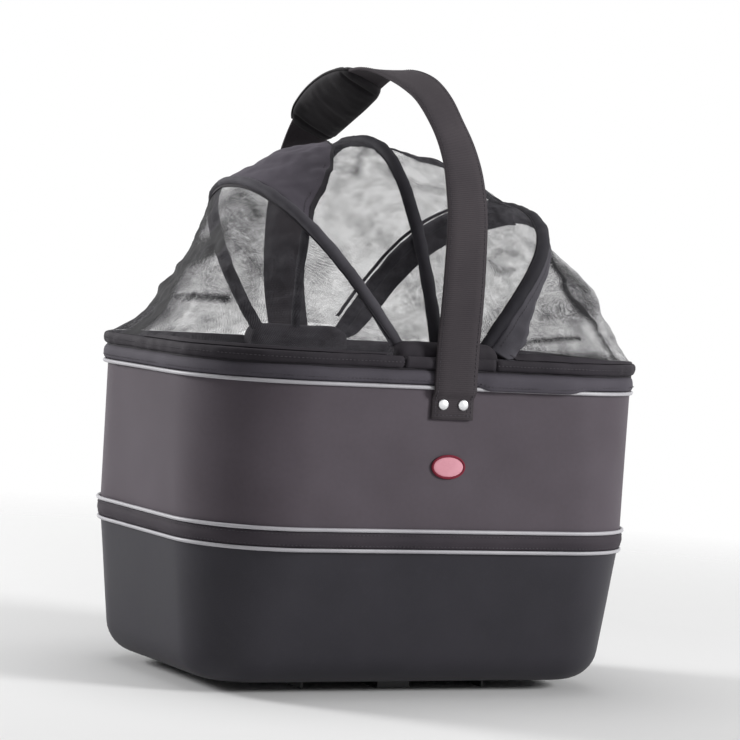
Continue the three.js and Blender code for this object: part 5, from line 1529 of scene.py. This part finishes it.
def dressKeptParts():
    for finish, starts in keptFinishes.items():
        for node in nodesFrom(starts):
            for entry in node.material_slots:
                entry.material = finishes[finish]


def roundKeptEdges():
    for start, width in keptEdges.items():
        for node in nodesFrom([start]):
            node.modifiers.new("weld", "WELD").merge_threshold = 0.002 * mm
            bevel = node.modifiers.new("edges", "BEVEL")
            bevel.width = width * mm
            bevel.segments = 2
            bevel.limit_method = "ANGLE"
            bevel.angle_limit = math.radians(42)


dressKeptParts()
roundKeptEdges()
print("kept parts dressed")

# floor, background and light
stage = {
    "floorRadius": 3.0, "floorDrop": 0.0002, "floorColour": tint(232, 232, 232), "fade": (0.55, 1.6),
    "sky": 0.23, "aim": (0, 0, 0.2),
}
lamps = [
    {"name": "keyFront", "place": (2.0, -1.9, 1.2), "size": 0.9, "watts": 64},
    {"name": "leftEnd", "place": (-1.75, 1.7, 1.05), "size": 0.75, "watts": 51},
    {"name": "topFill", "place": (0.0, 0.2, 2.8), "size": 2.0, "watts": 24},
]


def makeStage():
    radius = stage["floorRadius"]
    bpy.ops.mesh.primitive_circle_add(vertices=96, radius=radius, fill_type="NGON")
    floor = bpy.context.object
    floor.name = "floor"
    floor.location = (0, 0, -stage["floorDrop"])
    made = Finish("paleFloor", Roughness=0.9, Specular_IOR_Level=0.1)
    x, y, _ = made.split(made.place())
    distance = (x * x + y * y).maths("SQRT")
    fadeFrom, fadeTo = stage["fade"]
    shown = made.ramp(distance / radius, (fadeFrom / radius, 1), (fadeTo / radius, 0))
    made.set(Base_Color=stage["floorColour"], Alpha=shown)
    floor.data.materials.append(made.material)


def makeWorld():
    world = bpy.data.worlds.new("studio")
    scene.world = world
    world.use_nodes = True
    world.node_tree.nodes.clear()
    maker = NodeMaker(world.node_tree)
    rays = maker.node("ShaderNodeLightPath", {}).output.node.outputs
    camera, glossy, through = (
        Socket(maker, rays[name]) for name in ("Is Camera Ray", "Is Glossy Ray", "Is Transmission Ray")
    )
    seen = camera.maths("MAXIMUM", glossy).maths("MAXIMUM", through)
    white = maker.node("ShaderNodeBackground", {"Color": (1, 1, 1, 1)})
    light = maker.node("ShaderNodeBackground", {"Color": (1, 1, 1, 1), "Strength": stage["sky"]})
    mixed = maker.node("ShaderNodeMixShader", {0: seen, 1: light, 2: white})
    maker.node("ShaderNodeOutputWorld", {"Surface": mixed}, None, target="ALL")


def makeLamps():
    for lamp in lamps:
        data = bpy.data.lights.new(lamp["name"], "AREA")
        data.shape = "DISK"
        data.size = lamp["size"]
        data.energy = lamp["watts"]
        made = bpy.data.objects.new(lamp["name"], data)
        scene.collection.objects.link(made)
        made.location = lamp["place"]
        towards = Vector(stage["aim"]) - made.location
        made.rotation_mode = "QUATERNION"
        made.rotation_quaternion = towards.to_track_quat("-Z", "Y")


makeStage()
makeWorld()
makeLamps()
scene.view_settings.view_transform = "Standard"
print("stage and light made")
